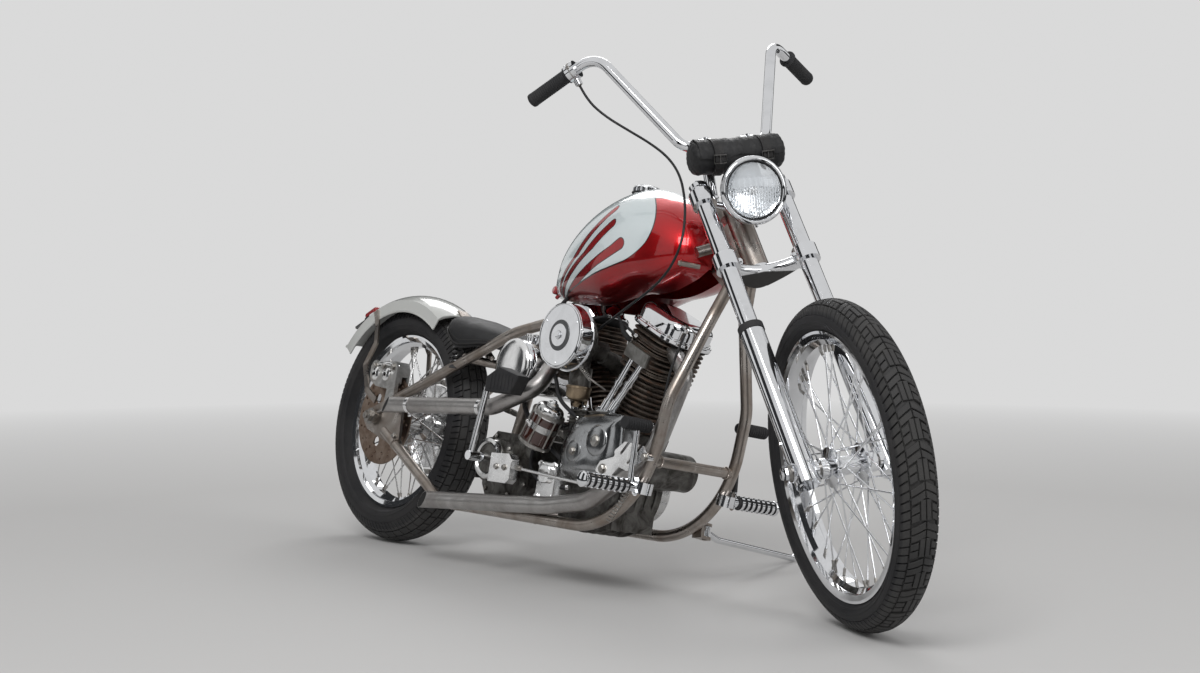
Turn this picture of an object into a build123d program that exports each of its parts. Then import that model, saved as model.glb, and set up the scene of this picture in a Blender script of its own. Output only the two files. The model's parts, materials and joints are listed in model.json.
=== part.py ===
from build123d import *
import math
import os

# A rigid-frame chopper with a V-twin engine. Millimetres throughout.
# It is drawn upright with the rear axle above the origin, +X forward, +Y to the rider's left,
# +Z up, and then set down leaning on its side stand with the steering turned.

# Stance
WHEELBASE = 1669.7
RAKE = 35.8
LEAN = 11.01
STEER = 28.46
FORK_OFFSET = 60.0

# Wheels: tyre radius, rim flange radius, bead seat radius, half width of tyre and rim
FRONT_TYRE_R = 345.0
FRONT_FLANGE_R = 281.0
FRONT_TYRE_HALF = 42.4
FRONT_RIM_HALF = 32.0
REAR_TYRE_R = 332.0
REAR_FLANGE_R = 243.0
REAR_TYRE_HALF = 60.0
REAR_RIM_HALF = 35.0
CROWN_SHARE = 0.22
TREAD_WALL = 16.0
FRONT_SHOULDER = (FRONT_TYRE_R - 27.0, 40.0)
REAR_SHOULDER = (REAR_TYRE_R - 32.0, 55.0)
FLANGE_HEIGHT = 14.3
RIM_WALL = 3.0
SPOKES = 40
SPOKE_R = 1.9
SPOKE_END = 1.4
GAP = 0.3
AXLE_R = 9.5

# Fork
FORK_SPACING = 191.0
TUBE_R = 20.5
SLIDER_R = 27.0
SLIDER_TOP = 348.0
SLIDER_FOOT = -32.0
TUBE_TOP = 757.0
LOWER_CLAMP_S = 537.0
UPPER_CLAMP_S = 719.0
CLAMP_T = 24.0
CLAMP_DIP = 28.0
CLAMP_ROUND = 10.0
HEAD_R = 28.0
NECK_HALF = 21.0
STEM_R = 14.0
CLEAR = 1.0

# Frame tubes
FRAME_R = 14.0
RAIL_Y = 130.0
RAIL_Z = 131.0
STAY_Y = 115.0
BACKBONE_R = 19.0

# Engine: crankshaft place, half the angle between the cylinders, heights up each cylinder
CRANK_X = 890.0
CRANK_Z = 235.0
V_HALF = 22.5
DECK = 160.0
BARREL_TOP = 288.0
HEAD_TOP = 398.0
COVER_TOP = 452.0
FIN_R = 68.0
BORE_R = 52.0
CASE_HALF = 74.0

# Driveline, left side
CHAIN_Y = 76.0
CHAIN_HALF = 8.0
REAR_CHAIN_R = 129.0
FRONT_CHAIN_R = 61.0
CHAIN_HEIGHT = 14.0
SPROCKET_X = 580.0
SPROCKET_Z = 290.0

rear_axle_at = Vector(0, 0, REAR_TYRE_R)
front_axle_at = Vector(WHEELBASE, 0, FRONT_TYRE_R)
rake = math.radians(RAKE)
steer_axis = Vector(-math.sin(rake), 0, math.cos(rake))
fork_forward = Vector(math.cos(rake), 0, math.sin(rake))
steer_point = front_axle_at - fork_forward * FORK_OFFSET
fork_plane = Plane(origin=steer_point, x_dir=fork_forward, z_dir=steer_axis)
turned = Location(fork_plane) * Rot(0, 0, -STEER) * Location(fork_plane).inverse()


def turned_by(place, point):
    return (place * Pos(*point)).position


def direction_by(place, line):
    return turned_by(place, line) - turned_by(place, (0, 0, 0))


def at_fork(forward, y, up):
    """A place given by its distance ahead of the steering axis, sideways, and up along it."""
    return steer_point + fork_forward * forward + Vector(0, y, 0) + steer_axis * up


head_at = at_fork(0, 0, (LOWER_CLAMP_S + UPPER_CLAMP_S) / 2)


def from_head(x, y, z):
    """A place given from the middle of the steering head."""
    return (head_at.X + x, y, head_at.Z + z)


def rod(start, end, radius, bore=0.0):
    """A straight round bar, or a tube where a bore is given."""
    start = Vector(*start)
    axis = Vector(*end) - start
    place = Plane(origin=start, z_dir=axis.normalized())
    section = Circle(radius)
    if bore:
        section = section - Circle(bore)
    return extrude(place * section, axis.length)


def bent(points, bends, radius, bore=0.0):
    """A round tube through the points, with one bend radius for each corner."""
    path = FilletPolyline(*points, radius=bends)
    place = Plane(origin=path @ 0, z_dir=path % 0)
    section = Circle(radius)
    if bore:
        section = section - Circle(bore)
    return sweep(place * section, path=path)


def flat_bar(start, end, width, thickness):
    """A flat bar between two places, its broad side facing sideways."""
    start = Vector(*start)
    axis = Vector(*end) - start
    place = Plane(origin=start, x_dir=(0, 1, 0), z_dir=axis.normalized())
    return extrude(place * Rectangle(thickness, width), axis.length)


def mirrored(points):
    return [(x, -y, z) for x, y, z in points]


def side_plane(y):
    """A plane facing the bike's right, its x forward and its y up."""
    return Plane(origin=(0, y, 0), x_dir=(1, 0, 0), z_dir=(0, -1, 0))


def side_plate(outline, left, right):
    """A flat piece with an outline in x and z, from y = left down to y = right."""
    return extrude(side_plane(left) * make_face(Polyline(*outline, close=True)), left - right)


def side_disc(x, z, radius, left, right):
    return extrude(side_plane(left) * Pos(x, z) * Circle(radius), left - right)


def belt_outline(x1, z1, r1, x2, z2, r2):
    """Two circles wrapped by one belt, in x and z."""
    run = Vector(x2 - x1, z2 - z1)
    heading = math.atan2(run.Y, run.X)
    touch = math.acos((r1 - r2) / run.length)

    def on(x, z, r, angle):
        return (x + r * math.cos(angle), z + r * math.sin(angle))

    first = [on(x1, z1, r1, heading + touch), on(x1, z1, r1, heading + math.pi), on(x1, z1, r1, heading - touch)]
    second = [on(x2, z2, r2, heading - touch), on(x2, z2, r2, heading), on(x2, z2, r2, heading + touch)]
    lines = ThreePointArc(*first) + Line(first[2], second[0]) + ThreePointArc(*second) + Line(second[2], first[0])
    return make_face(lines)


def axle_ring(lines):
    """A ring about the Y axis from lines drawn in (radius, y)."""
    return revolve(make_face(lines), Axis.Y)


def cut(piece, *tools):
    for tool in tools:
        piece = piece - tool
    return piece


def mirror_y(shape):
    return mirror(shape, about=Plane.XZ)


def both(shape):
    """The piece and its mirror image, as one node of two solids."""
    return Compound(children=[shape, mirror_y(shape)])


# Wheels

def tyre(tyre_r, flange_r, half, rim_half, shoulder):
    """Shoulder: radius and half width of the tread's edge."""
    seat = flange_r - FLANGE_HEIGHT + GAP
    heel = rim_half - RIM_WALL - GAP
    side_r = flange_r + (shoulder[0] - flange_r) * 0.5
    left = [(tyre_r, CROWN_SHARE * half), shoulder, (side_r, half), (flange_r + 1, heel), (seat, heel)]
    right = [(r, -y) for r, y in reversed(left)]
    return axle_ring(Polyline(*left, (tyre_r - TREAD_WALL, 0), *right, close=True))


def rim(flange_r, half):
    seat = flange_r - FLANGE_HEIGHT
    well = seat - 12.0
    t = RIM_WALL
    right = [(flange_r, half), (flange_r, half - t), (seat, half - t), (seat, half - t - 13), (well, half - t - 20)]
    under = [(well - t, half - t - 18), (seat - t - 1, half - 13), (seat - t, half - 3), (flange_r - 6, half)]
    left = [(r, -y) for r, y in reversed(right)]
    below = [(r, -y) for r, y in reversed(under)]
    return axle_ring(Polyline(*right, *left, *below, *under, close=True))


def spokes(hub_r, hub_y, rim_r, rim_y, cross):
    """Two rows of spokes. Cross: how far each leads or trails round the rim, in degrees."""
    step = 720.0 / SPOKES
    pieces = []
    for side in (1, -1):
        for n in range(SPOKES // 2):
            lean = cross if n % 2 else -cross
            start = math.radians(n * step + side * step / 4)
            end = start + math.radians(lean)
            out = hub_y + (2.0 if n % 2 else -2.0)
            a = (hub_r * math.cos(start), side * out, hub_r * math.sin(start))
            b = (rim_r * math.cos(end), side * rim_y, rim_r * math.sin(end))
            pieces.append(rod(a, b, SPOKE_R))
    return pieces


def spoked_hub(profile, hub_r, hub_y, rim_r, rim_y, cross):
    """A turned hub, its outline in (radius, y), joined to its spokes."""
    hub = axle_ring(Polyline(*profile, close=True))
    return hub.fuse(*spokes(hub_r, hub_y, rim_r, rim_y, cross))


front_well_r = FRONT_FLANGE_R - FLANGE_HEIGHT - 12.0 - RIM_WALL
rear_well_r = REAR_FLANGE_R - FLANGE_HEIGHT - 12.0 - RIM_WALL

front_hub_half = 62.0
front_hub_profile = [
    (AXLE_R + GAP, -front_hub_half), (22, -front_hub_half), (22, -44), (42, -38), (42, -30), (20, -24),
    (20, 24), (42, 30), (42, 38), (22, 44), (22, front_hub_half), (AXLE_R + GAP, front_hub_half),
]
DISC_R = 128.0
DISC_LEFT = -79.5
DISC_RIGHT = -84.5
SPROCKET_R = REAR_CHAIN_R - CHAIN_HEIGHT / 2 - 5.0
rear_hub_profile = [
    (AXLE_R + GAP, DISC_RIGHT - 4), (30, DISC_RIGHT - 4), (30, DISC_RIGHT), (48, DISC_RIGHT), (48, DISC_LEFT),
    (34, DISC_LEFT), (34, -50), (54, -46), (54, -38), (32, -30),
    (32, 30), (54, 38), (54, 46), (34, 50), (34, CHAIN_Y - 4), (SPROCKET_R, CHAIN_Y - 4),
    (SPROCKET_R, CHAIN_Y + 4), (40, CHAIN_Y + 4), (30, CHAIN_Y + 12), (AXLE_R + GAP, CHAIN_Y + 12),
]

wheel_front = {
    "front_tyre": tyre(FRONT_TYRE_R, FRONT_FLANGE_R, FRONT_TYRE_HALF, FRONT_RIM_HALF, FRONT_SHOULDER),
    "front_rim": rim(FRONT_FLANGE_R, FRONT_RIM_HALF),
    "front_hub": spoked_hub(front_hub_profile, 37, 34, front_well_r - SPOKE_END, 3, 50),
}
wheel_rear = {
    "rear_tyre": tyre(REAR_TYRE_R, REAR_FLANGE_R, REAR_TYRE_HALF, REAR_RIM_HALF, REAR_SHOULDER),
    "rear_rim": rim(REAR_FLANGE_R, REAR_RIM_HALF),
    "rear_hub": spoked_hub(rear_hub_profile, 49, 42, rear_well_r - SPOKE_END, 4, 44),
}

# Drilled brake disc, bolted to the hub's right flange
disc = axle_ring(Polyline((48 + GAP, DISC_RIGHT), (DISC_R, DISC_RIGHT), (DISC_R, DISC_LEFT), (48 + GAP, DISC_LEFT), close=True))
for ring_r, count, hole_r in ((114, 18, 4), (98, 18, 4), (70, 6, 14)):
    for n in range(count):
        a = math.radians(360.0 * n / count + ring_r)
        disc = disc - side_disc(ring_r * math.cos(a), ring_r * math.sin(a), hole_r, DISC_LEFT + 1, DISC_RIGHT - 1)
wheel_rear["brake_disc"] = disc

# Fork

fork = {}
leg_y = FORK_SPACING / 2


def fork_rod(y, low, high, radius, bore=0.0, forward=FORK_OFFSET):
    return rod(at_fork(forward, y, low), at_fork(forward, y, high), radius, bore)


front_axle_half = 140.0
front_axle = rod((WHEELBASE, -front_axle_half, FRONT_TYRE_R), (WHEELBASE, front_axle_half, FRONT_TYRE_R), AXLE_R)
spacers = [
    rod((WHEELBASE, s * (front_hub_half + GAP), FRONT_TYRE_R), (WHEELBASE, s * (leg_y - SLIDER_R - 1), FRONT_TYRE_R), 13.0, AXLE_R)
    for s in (1, -1)
]
nuts = [
    rod((WHEELBASE, s * (leg_y + SLIDER_R + 3), FRONT_TYRE_R), (WHEELBASE, s * (leg_y + SLIDER_R + 13), FRONT_TYRE_R), 16.0)
    for s in (1, -1)
]
fork["front_axle"] = front_axle.fuse(*nuts)
if leg_y - SLIDER_R - 1 > front_hub_half + GAP:
    fork["front_axle"] = fork["front_axle"].fuse(*spacers)

tube = fork_rod(leg_y, SLIDER_TOP, TUBE_TOP - 10, TUBE_R)
cap = fork_rod(leg_y, TUBE_TOP - 10, TUBE_TOP, TUBE_R + 2)
slider = fork_rod(leg_y, SLIDER_FOOT, SLIDER_TOP, SLIDER_R)
lug = rod((WHEELBASE, leg_y - SLIDER_R - 0.5, FRONT_TYRE_R), (WHEELBASE, leg_y + SLIDER_R + 2.5, FRONT_TYRE_R), 20.0)
slider = slider + lug
slider = slider - rod((WHEELBASE, 0, FRONT_TYRE_R), (WHEELBASE, 200, FRONT_TYRE_R), AXLE_R)
fork["fork_sliders"] = both(slider)
fork["fork_tubes"] = both(tube + cap)
seal = fork_rod(leg_y, SLIDER_TOP, SLIDER_TOP + 16, TUBE_R + 8, TUBE_R + GAP)
fork["fork_seals"] = both(seal)


def clamp(centre_s, stem_low, stem_high):
    """A fork clamp: a bridge curved forward between its two tube bosses, on the steering stem."""
    low = centre_s - CLAMP_T / 2
    base = Plane(origin=at_fork(0, 0, low), x_dir=fork_forward, z_dir=steer_axis)
    nose = FORK_OFFSET + 14
    heel = FORK_OFFSET - 18
    bridge = (
        ThreePointArc((nose, -leg_y), (FORK_OFFSET - CLAMP_DIP, 0), (nose, leg_y)) + Line((nose, leg_y), (heel, leg_y))
        + ThreePointArc((heel, leg_y), (8, 64), (-26, 22)) + Line((-26, 22), (-26, -22))
        + ThreePointArc((-26, -22), (8, -64), (heel, -leg_y)) + Line((heel, -leg_y), (nose, -leg_y))
    )
    body = extrude(base * make_face(bridge), CLAMP_T)
    body = fillet([edge for edge in body.edges() if edge.length > 1.5 * leg_y], CLAMP_ROUND)
    for y in (leg_y, -leg_y):
        body = body + fork_rod(y, low - 6, low + CLAMP_T + 6, TUBE_R + 8)
    body = body + rod(at_fork(0, 0, low), at_fork(0, 0, low + CLAMP_T), HEAD_R + 4)
    body = body + rod(at_fork(0, 0, stem_low), at_fork(0, 0, stem_high), STEM_R)
    for y in (leg_y, -leg_y):
        body = body - fork_rod(y, low - 60, low + 90, TUBE_R)
    return body


stem_top = UPPER_CLAMP_S - CLAMP_T / 2
fork["lower_clamp"] = clamp(LOWER_CLAMP_S, LOWER_CLAMP_S, stem_top)
fork["upper_clamp"] = clamp(UPPER_CLAMP_S, stem_top, UPPER_CLAMP_S + CLAMP_T / 2 + 14)

# Handlebar: half of its line, from the grip's end to the middle
BAR_R = 12.7
grip_end = from_head(-390.7, -362, 400.7)
bar_top = from_head(-275.7, -226, 484.7)
bar_foot = from_head(-75.7, -100, 230.7)
bar_line = [grip_end, bar_top, bar_foot, (bar_foot[0], -bar_foot[1], bar_foot[2])]
bar_line = bar_line + mirrored([bar_top, grip_end])
riser_y = 52.0
handlebar = bent(bar_line, [62, 48, 48, 62], BAR_R)
for y in (riser_y, -riser_y):
    foot = at_fork(8, y, UPPER_CLAMP_S + CLAMP_T / 2)
    head = Vector(bar_foot[0], y, bar_foot[2])
    handlebar = handlebar + rod(foot, head, 13.0)
    handlebar = handlebar + rod(head - Vector(0, 15, 0), head + Vector(0, 15, 0), 20.0)
grip_line = (Vector(*bar_top) - Vector(*grip_end)).normalized()


def on_grip(distance):
    return Vector(*grip_end) + grip_line * distance


GRIP_LENGTH = 112.0
GRIP_R = 17.0
throttle = rod(on_grip(GRIP_LENGTH + 1), on_grip(GRIP_LENGTH + 27), 23.0)
spout_line = Vector(10, 10, -34).normalized()
spout_end = on_grip(GRIP_LENGTH + 14) + spout_line * 37
throttle = throttle + rod(on_grip(GRIP_LENGTH + 14), spout_end, 9.0)
fork["handlebar"] = handlebar + throttle - fork["upper_clamp"]
grip = rod(on_grip(-5), on_grip(GRIP_LENGTH), GRIP_R) - rod(on_grip(0), on_grip(GRIP_LENGTH + 1), BAR_R)
fork["hand_grips"] = both(grip)

# Headlamp: a bucket turned about the line through its middle, its rim, and the lens
LAMP_X = head_at.X + 70.3
LAMP_Z = head_at.Z + 116.7
LAMP_R = 74.0
lamp_line = Axis((0, 0, LAMP_Z), (1, 0, 0))


def lamp_ring(lines):
    face = make_face(lines)
    return revolve(Plane(origin=(LAMP_X, 0, LAMP_Z), x_dir=(1, 0, 0), z_dir=(0, -1, 0)) * face, lamp_line)


def dome_middle(radius, rise):
    """A point halfway along the arc of a shallow dome, from its edge to its top."""
    ball = (radius ** 2 + rise ** 2) / (2 * rise)
    half = math.asin(radius / ball) / 2
    return (rise - ball * (1 - math.cos(half)), ball * math.sin(half))


LENS_R = LAMP_R - 8 - GAP
LENS_RISE = 10.0
bucket = lamp_ring(
    Line((-88, 0), (-88, 20)) + ThreePointArc((-88, 20), (-50, 58), (-12, 70)) + Line((-12, 70), (-12, LAMP_R))
    + Line((-12, LAMP_R), (2, LAMP_R - 2)) + Line((2, LAMP_R - 2), (2, LAMP_R - 8))
    + Line((2, LAMP_R - 8), (-12, LAMP_R - 8)) + Line((-12, LAMP_R - 8), (-12, 0)) + Line((-12, 0), (-88, 0))
)
fork["headlamp"] = bucket
# The lamp's stub on the middle of the upper clamp
LAMP_STUB_R = 9.0
lamp_stub = rod(at_fork(FORK_OFFSET - CLAMP_DIP - 12, 0, UPPER_CLAMP_S), (LAMP_X - 60, 0, LAMP_Z - 10), LAMP_STUB_R)
fork["upper_clamp"] = fork["upper_clamp"] + lamp_stub - bucket
fork["headlamp_lens"] = lamp_ring(
    Line((-12, 0), (-12, LENS_R)) + Line((-12, LENS_R), (0, LENS_R))
    + ThreePointArc((0, LENS_R), dome_middle(LENS_R, LENS_RISE), (LENS_RISE, 0)) + Line((LENS_RISE, 0), (-12, 0))
)

# Tool roll strapped ahead of the handlebar
BAG_HALF = 112.0
BAG_R = 40.0
bag_at = (bar_foot[0] + 58.1, bar_foot[2] - 27.4)
bag = side_disc(bag_at[0], bag_at[1], BAG_R, BAG_HALF, -BAG_HALF)
fork["tool_bag"] = fillet(bag.edges(), 12)

# Frame

frame = {}
head_low = LOWER_CLAMP_S + CLAMP_T / 2 + CLEAR
head_high = stem_top - CLEAR
head_tube = rod(at_fork(0, 0, head_low), at_fork(0, 0, head_high), HEAD_R)
neck_corners = [from_head(x, 0, z) for x, z in ((31.3, -74.3), (-43.7, 52.7), (-113.7, -4.3), (-118.7, -44.3), (-28.7, -114.3))]
neck = side_plate([(x, z) for x, y, z in neck_corners], NECK_HALF, -NECK_HALF)
head_bore = rod(at_fork(0, 0, head_low - 9), at_fork(0, 0, head_high + 9), STEM_R + CLEAR)
steering_head = head_tube + neck - head_bore
frame["steering_head"] = steering_head

backbone_line = [from_head(-103.7, 0, -16.3), (1010, 0, 783), (585, 0, 632)]
backbone = bent(backbone_line, [260], BACKBONE_R)
seat_post = rod((575, 0, 634), (452, 0, RAIL_Z), FRAME_R)
seat_post = seat_post - backbone
frame["backbone"] = backbone - neck

down_line = [from_head(8.3, 20, -57.3), from_head(-25.7, 48, -169.3), (1201, 124, 440), (1163, RAIL_Y, RAIL_Z), (930, RAIL_Y, RAIL_Z)]
down_tube = bent(down_line, [110, 150, 250], FRAME_R)
down_tube = down_tube - rod(at_fork(0, 0, head_low - 40), at_fork(0, 0, head_high), HEAD_R)
down_tube = down_tube - neck
frame["down_tubes"] = both(down_tube)
AXLE_FRONT = 60.0
rail_line = [(930, RAIL_Y, RAIL_Z), (395, RAIL_Y, RAIL_Z), (AXLE_FRONT, STAY_Y, REAR_TYRE_R - 36)]
rail = bent(rail_line, [110], FRAME_R)

plate_corners = [(-48, -14), (-34, 18), (92, 66), (132, 60), (140, -62), (96, -70), (-24, -36)]
plate_outline = [(x, REAR_TYRE_R + z) for x, z in plate_corners]
plate_left = STAY_Y + 4.0
plate_right = STAY_Y - 4.0
axle_plate = side_plate(plate_outline, plate_left, plate_right)
axle_plate = axle_plate - side_disc(0, REAR_TYRE_R, AXLE_R + GAP, plate_left + 1, plate_right - 1)
rail = rail - side_plate(plate_outline, plate_left, plate_right)
stay_line = [(612, 19, 626), (500, 56, 588), (AXLE_FRONT + 10, STAY_Y, REAR_TYRE_R + 44)]
stay = bent(stay_line, [260], FRAME_R)
stay = stay - side_plate(plate_outline, plate_left, plate_right) - backbone - seat_post
rail = rail - seat_post
frame["lower_rails"] = both(rail)
frame["upper_stays"] = both(stay)
frame["axle_plates"] = both(axle_plate)

cross = [
    rod((1178, -118, 300), (1178, 118, 300), 12.0),
    rod((780, -RAIL_Y, RAIL_Z), (780, RAIL_Y, RAIL_Z), 12.0),
    rod((452, -RAIL_Y, RAIL_Z), (452, RAIL_Y, RAIL_Z), 12.0),
]
bridge_at = (335, 512)
bridge_tube = rod((bridge_at[0], -84, bridge_at[1]), (bridge_at[0], 84, bridge_at[1]), 12.0)
bridge_tube = cut(bridge_tube, stay, mirror_y(stay))
frame["cross_members"] = Compound(children=[
    cut(c, down_tube, mirror_y(down_tube), rail, mirror_y(rail), seat_post) for c in cross
] + [seat_post, bridge_tube])

# Rear axle
axle_half = 134.0
rear_axle = rod((0, -axle_half, REAR_TYRE_R), (0, axle_half, REAR_TYRE_R), AXLE_R)
for s in (1, -1):
    rear_axle = rear_axle + rod((0, s * (plate_left + GAP), REAR_TYRE_R), (0, s * (plate_left + 12), REAR_TYRE_R), 17.0)
rear_axle = rear_axle + rod((0, CHAIN_Y + 12 + CLEAR, REAR_TYRE_R), (0, plate_right - GAP, REAR_TYRE_R), 14.0)
rear_axle = rear_axle + rod((0, -plate_right + GAP, REAR_TYRE_R), (0, DISC_RIGHT - 4 - CLEAR, REAR_TYRE_R), 14.0)
frame["rear_axle"] = rear_axle

# Fuel tank: sections along x, as top, bottom and half width
tank_sections = [
    # x and heights from the steering head: x, top, bottom; half width
    (-649.7, -103.3, -129.3, 22),
    (-563.7, 18.7, -145.3, 84),
    (-453.7, 102.7, -157.3, 118),
    (-323.7, 138.7, -159.3, 136),
    (-203.7, 108.7, -131.3, 136),
    (-123.7, 64.7, -97.3, 116),
    (-77.7, 22.7, -67.3, 84),
]


def tank_section(x, top, bottom, half):
    """A rounded section: a low arc under, round sides and a high arc over."""
    x = x + head_at.X
    top = top + head_at.Z
    bottom = bottom + head_at.Z
    waist = bottom + (top - bottom) * 0.45
    lines = (
        ThreePointArc((-half, waist), (-half * 0.72, top - (top - waist) * 0.28), (0, top))
        + ThreePointArc((0, top), (half * 0.72, top - (top - waist) * 0.28), (half, waist))
        + ThreePointArc((half, waist), (half * 0.9, bottom + (waist - bottom) * 0.3), (half * 0.6, bottom))
        + Line((half * 0.6, bottom), (-half * 0.6, bottom))
        + ThreePointArc((-half * 0.6, bottom), (-half * 0.9, bottom + (waist - bottom) * 0.3), (-half, waist))
    )
    return Plane(origin=(x, 0, 0), x_dir=(0, 1, 0), z_dir=(1, 0, 0)) * make_face(lines)


tank = loft([tank_section(*row) for row in tank_sections])
roof_slope = (backbone_line[1][2] - backbone_line[2][2]) / (backbone_line[1][0] - backbone_line[2][0])
roof_rise = (BACKBONE_R + GAP) * math.hypot(1, roof_slope)


def roof_z(x):
    return backbone_line[2][2] + roof_slope * (x - backbone_line[2][0]) + roof_rise


tunnel_outline = [(480, 600), (480, roof_z(480)), (1260, roof_z(1260)), (1260, 600)]
tunnel = side_plate(tunnel_outline, 32, -32)
rocker_room = side_plate([(560, 600), (560, 650), (640, 706), (1010, 706), (1056, 684), (1064, 600)], 80, -80)
tank = tank - tunnel - rocker_room
frame["fuel_tank"] = tank
cap_x = head_at.X - 376.7
cap_z = head_at.Z + 135.7
fuel_cap = rod((cap_x, 0, cap_z - 6), (cap_x, 0, cap_z + 12), 34.0)
fuel_cap = fillet(fuel_cap.faces().sort_by(Axis.Z)[-1].edges(), 5) - tank
frame["fuel_cap"] = fuel_cap

# Seat: a small teardrop pad on the upper stays
seat_outline = [(222, 0), (238, 72), (290, 112), (380, 92), (470, 58), (520, 26)]
seat_lines = Polyline(*[(x, y) for x, y in seat_outline], *[(x, -y) for x, y in reversed(seat_outline[1:])], close=True)
seat_face = make_face(seat_lines)
seat_face = fillet(seat_face.vertices(), 20)
seat = extrude(Plane(origin=(0, 0, 588), x_dir=(1, 0, -0.02), z_dir=(0.02, 0, 1)) * seat_face, 40)
seat = fillet(seat.edges().group_by(Axis.Z)[-1], 12)

# Rear fender: a U section turned about a line just behind the axle, over the top of the tyre
FENDER_R = REAR_TYRE_R + 22.0
FENDER_T = 3.0
FENDER_HALF = 75.0
FENDER_FRONT = 57.0
FENDER_SWEEP = 88.0
fender_at = (-6, REAR_TYRE_R + 6)


def fender_section(r, half, drop):
    return (
        Line((r - drop, -half), (r - 24, -half)) + ThreePointArc((r - 24, -half), (r, 0), (r - 24, half))
        + Line((r - 24, half), (r - drop, half)) + Line((r - drop, half), (r - drop, -half))
    )


fender_face = make_face(fender_section(FENDER_R, FENDER_HALF, 56)) - make_face(
    fender_section(FENDER_R - FENDER_T, FENDER_HALF - FENDER_T, 60)
)
fender = revolve(fender_face, -Axis.Y, revolution_arc=FENDER_SWEEP)
fender = Pos(fender_at[0], 0, fender_at[1]) * Rot(0, -FENDER_FRONT, 0) * fender
frame["rear_fender"] = fender

# Front stay of the fender, a flat bar from the tube under the seat to the fender's crown
BAR_T = 5.0
BAR_WIDTH = 30.0
crown_angle = math.radians(FENDER_FRONT)
crown_r = FENDER_R + GAP + BAR_T / 2
crown_tip = Vector(fender_at[0] + crown_r * math.cos(crown_angle), 0, fender_at[1] + crown_r * math.sin(crown_angle))
bar_foot_at = Vector(bridge_at[0], 0, bridge_at[1] + 12 + BAR_T / 2)
bar_line_up = (crown_tip - bar_foot_at).normalized()
bar_place = Plane(origin=bar_foot_at, x_dir=(0, 1, 0), z_dir=bar_line_up)
fender_bar = extrude(bar_place * Rectangle(BAR_WIDTH, BAR_T), (crown_tip - bar_foot_at).length + 22)
fender_bar = fender_bar + Pos(bar_foot_at.X, 0, bar_foot_at.Z - BAR_T / 2) * Cylinder(10, BAR_T + 6)
fender_bar = fender_bar - bridge_tube
stay_room = bent(stay_line, [260], FRAME_R + CLEAR)
seat = seat - extrude(bar_place * Rectangle(BAR_WIDTH + 6, BAR_T + 8), 300)
frame["seat"] = cut(seat, stay_room, mirror_y(stay_room))

# Fender struts, flat bars from the fender's sides to the axle plates
STRUT_T = 5.0
STRUT_WIDTH = 18.0
strut_in = FENDER_HALF + GAP + STRUT_T / 2
strut_out = plate_left + GAP + STRUT_T / 2
strut_line = [
    (-140, strut_in, REAR_TYRE_R + 302), (-122, strut_in, REAR_TYRE_R + 264), (-92, 92, REAR_TYRE_R + 208),
    (-104, 108, REAR_TYRE_R + 142), (-50, strut_out, REAR_TYRE_R + 70), (0, strut_out, REAR_TYRE_R + 44),
]
strut = None
for a, b in zip(strut_line, strut_line[1:]):
    step = flat_bar(a, b, STRUT_WIDTH, STRUT_T)
    strut = step if strut is None else strut + step
for x, y, z in strut_line[1:-1]:
    strut = strut + Pos(x, y, z) * Rot(90, 0, 0) * Cylinder(STRUT_WIDTH / 2, STRUT_T)
frame["fender_struts"] = Compound(children=[strut, mirror_y(strut), fender_bar])

# Licence plate bracket above the fender's tail, on two spacers, with the tail lamp on it
HOLDER_LENGTH = 150.0
HOLDER_WIDTH = 56.0
HOLDER_T = 4.0
PLATE_HOLES = 36.0
PLATE_HOLE_R = 3.3
PLATE_HOLE_EDGE = 9.0
holder_slope = math.radians(25)
holder_line = Vector(-math.cos(holder_slope), 0, -math.sin(holder_slope))
holder_normal = Vector(-math.sin(holder_slope), 0, math.cos(holder_slope))
holder_plane = Plane(origin=(-190, 0, REAR_TYRE_R + 320), x_dir=holder_line, z_dir=holder_normal)
holder_face = Pos(HOLDER_LENGTH / 2, 0) * RectangleRounded(HOLDER_LENGTH, HOLDER_WIDTH, 8)
for side in (1, -1):
    holder_face = holder_face - Pos(HOLDER_LENGTH - PLATE_HOLE_EDGE, side * PLATE_HOLES / 2) * Circle(PLATE_HOLE_R)
holder = extrude(holder_plane * holder_face, HOLDER_T)
for along in (24, 58):
    spacer = holder_plane.location * Pos(along, 0, 0) * Cylinder(7, 60, align=(Align.CENTER, Align.CENTER, Align.MAX))
    spacer = spacer - fender
    holder = holder + spacer.solids().sort_by(Axis.Z)[-1]
frame["plate_holder"] = holder
LAMP_LENGTH = 62.0
tail_face = Pos(42 + LAMP_LENGTH / 2, 0) * RectangleRounded(LAMP_LENGTH, 46, 12)
tail_lamp = extrude(holder_plane.offset(HOLDER_T) * tail_face, 24)
tail_lamp = fillet(tail_lamp.faces().sort_by(Axis.Z)[-1].edges(), 7)
frame["tail_lamp"] = tail_lamp

# Engine

def cylinder_plane(sign):
    tilt = math.radians(V_HALF) * sign
    up = Vector(math.sin(tilt), 0, math.cos(tilt))
    return Plane(origin=(CRANK_X, 0, CRANK_Z), x_dir=(math.cos(tilt), 0, -math.sin(tilt)), z_dir=up)


case_round = side_disc(CRANK_X, CRANK_Z, 116, CASE_HALF, -CASE_HALF)
sump = side_plate([(800, 130), (1000, 130), (1000, 240), (780, 240)], CASE_HALF - 10, 10 - CASE_HALF)
case = case_round + sump
for sign in (1, -1):
    deck = Box(132, 132, 90, align=(Align.CENTER, Align.CENTER, Align.MAX))
    case = case + cylinder_plane(sign).location * Pos(0, 0, DECK) * deck
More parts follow.
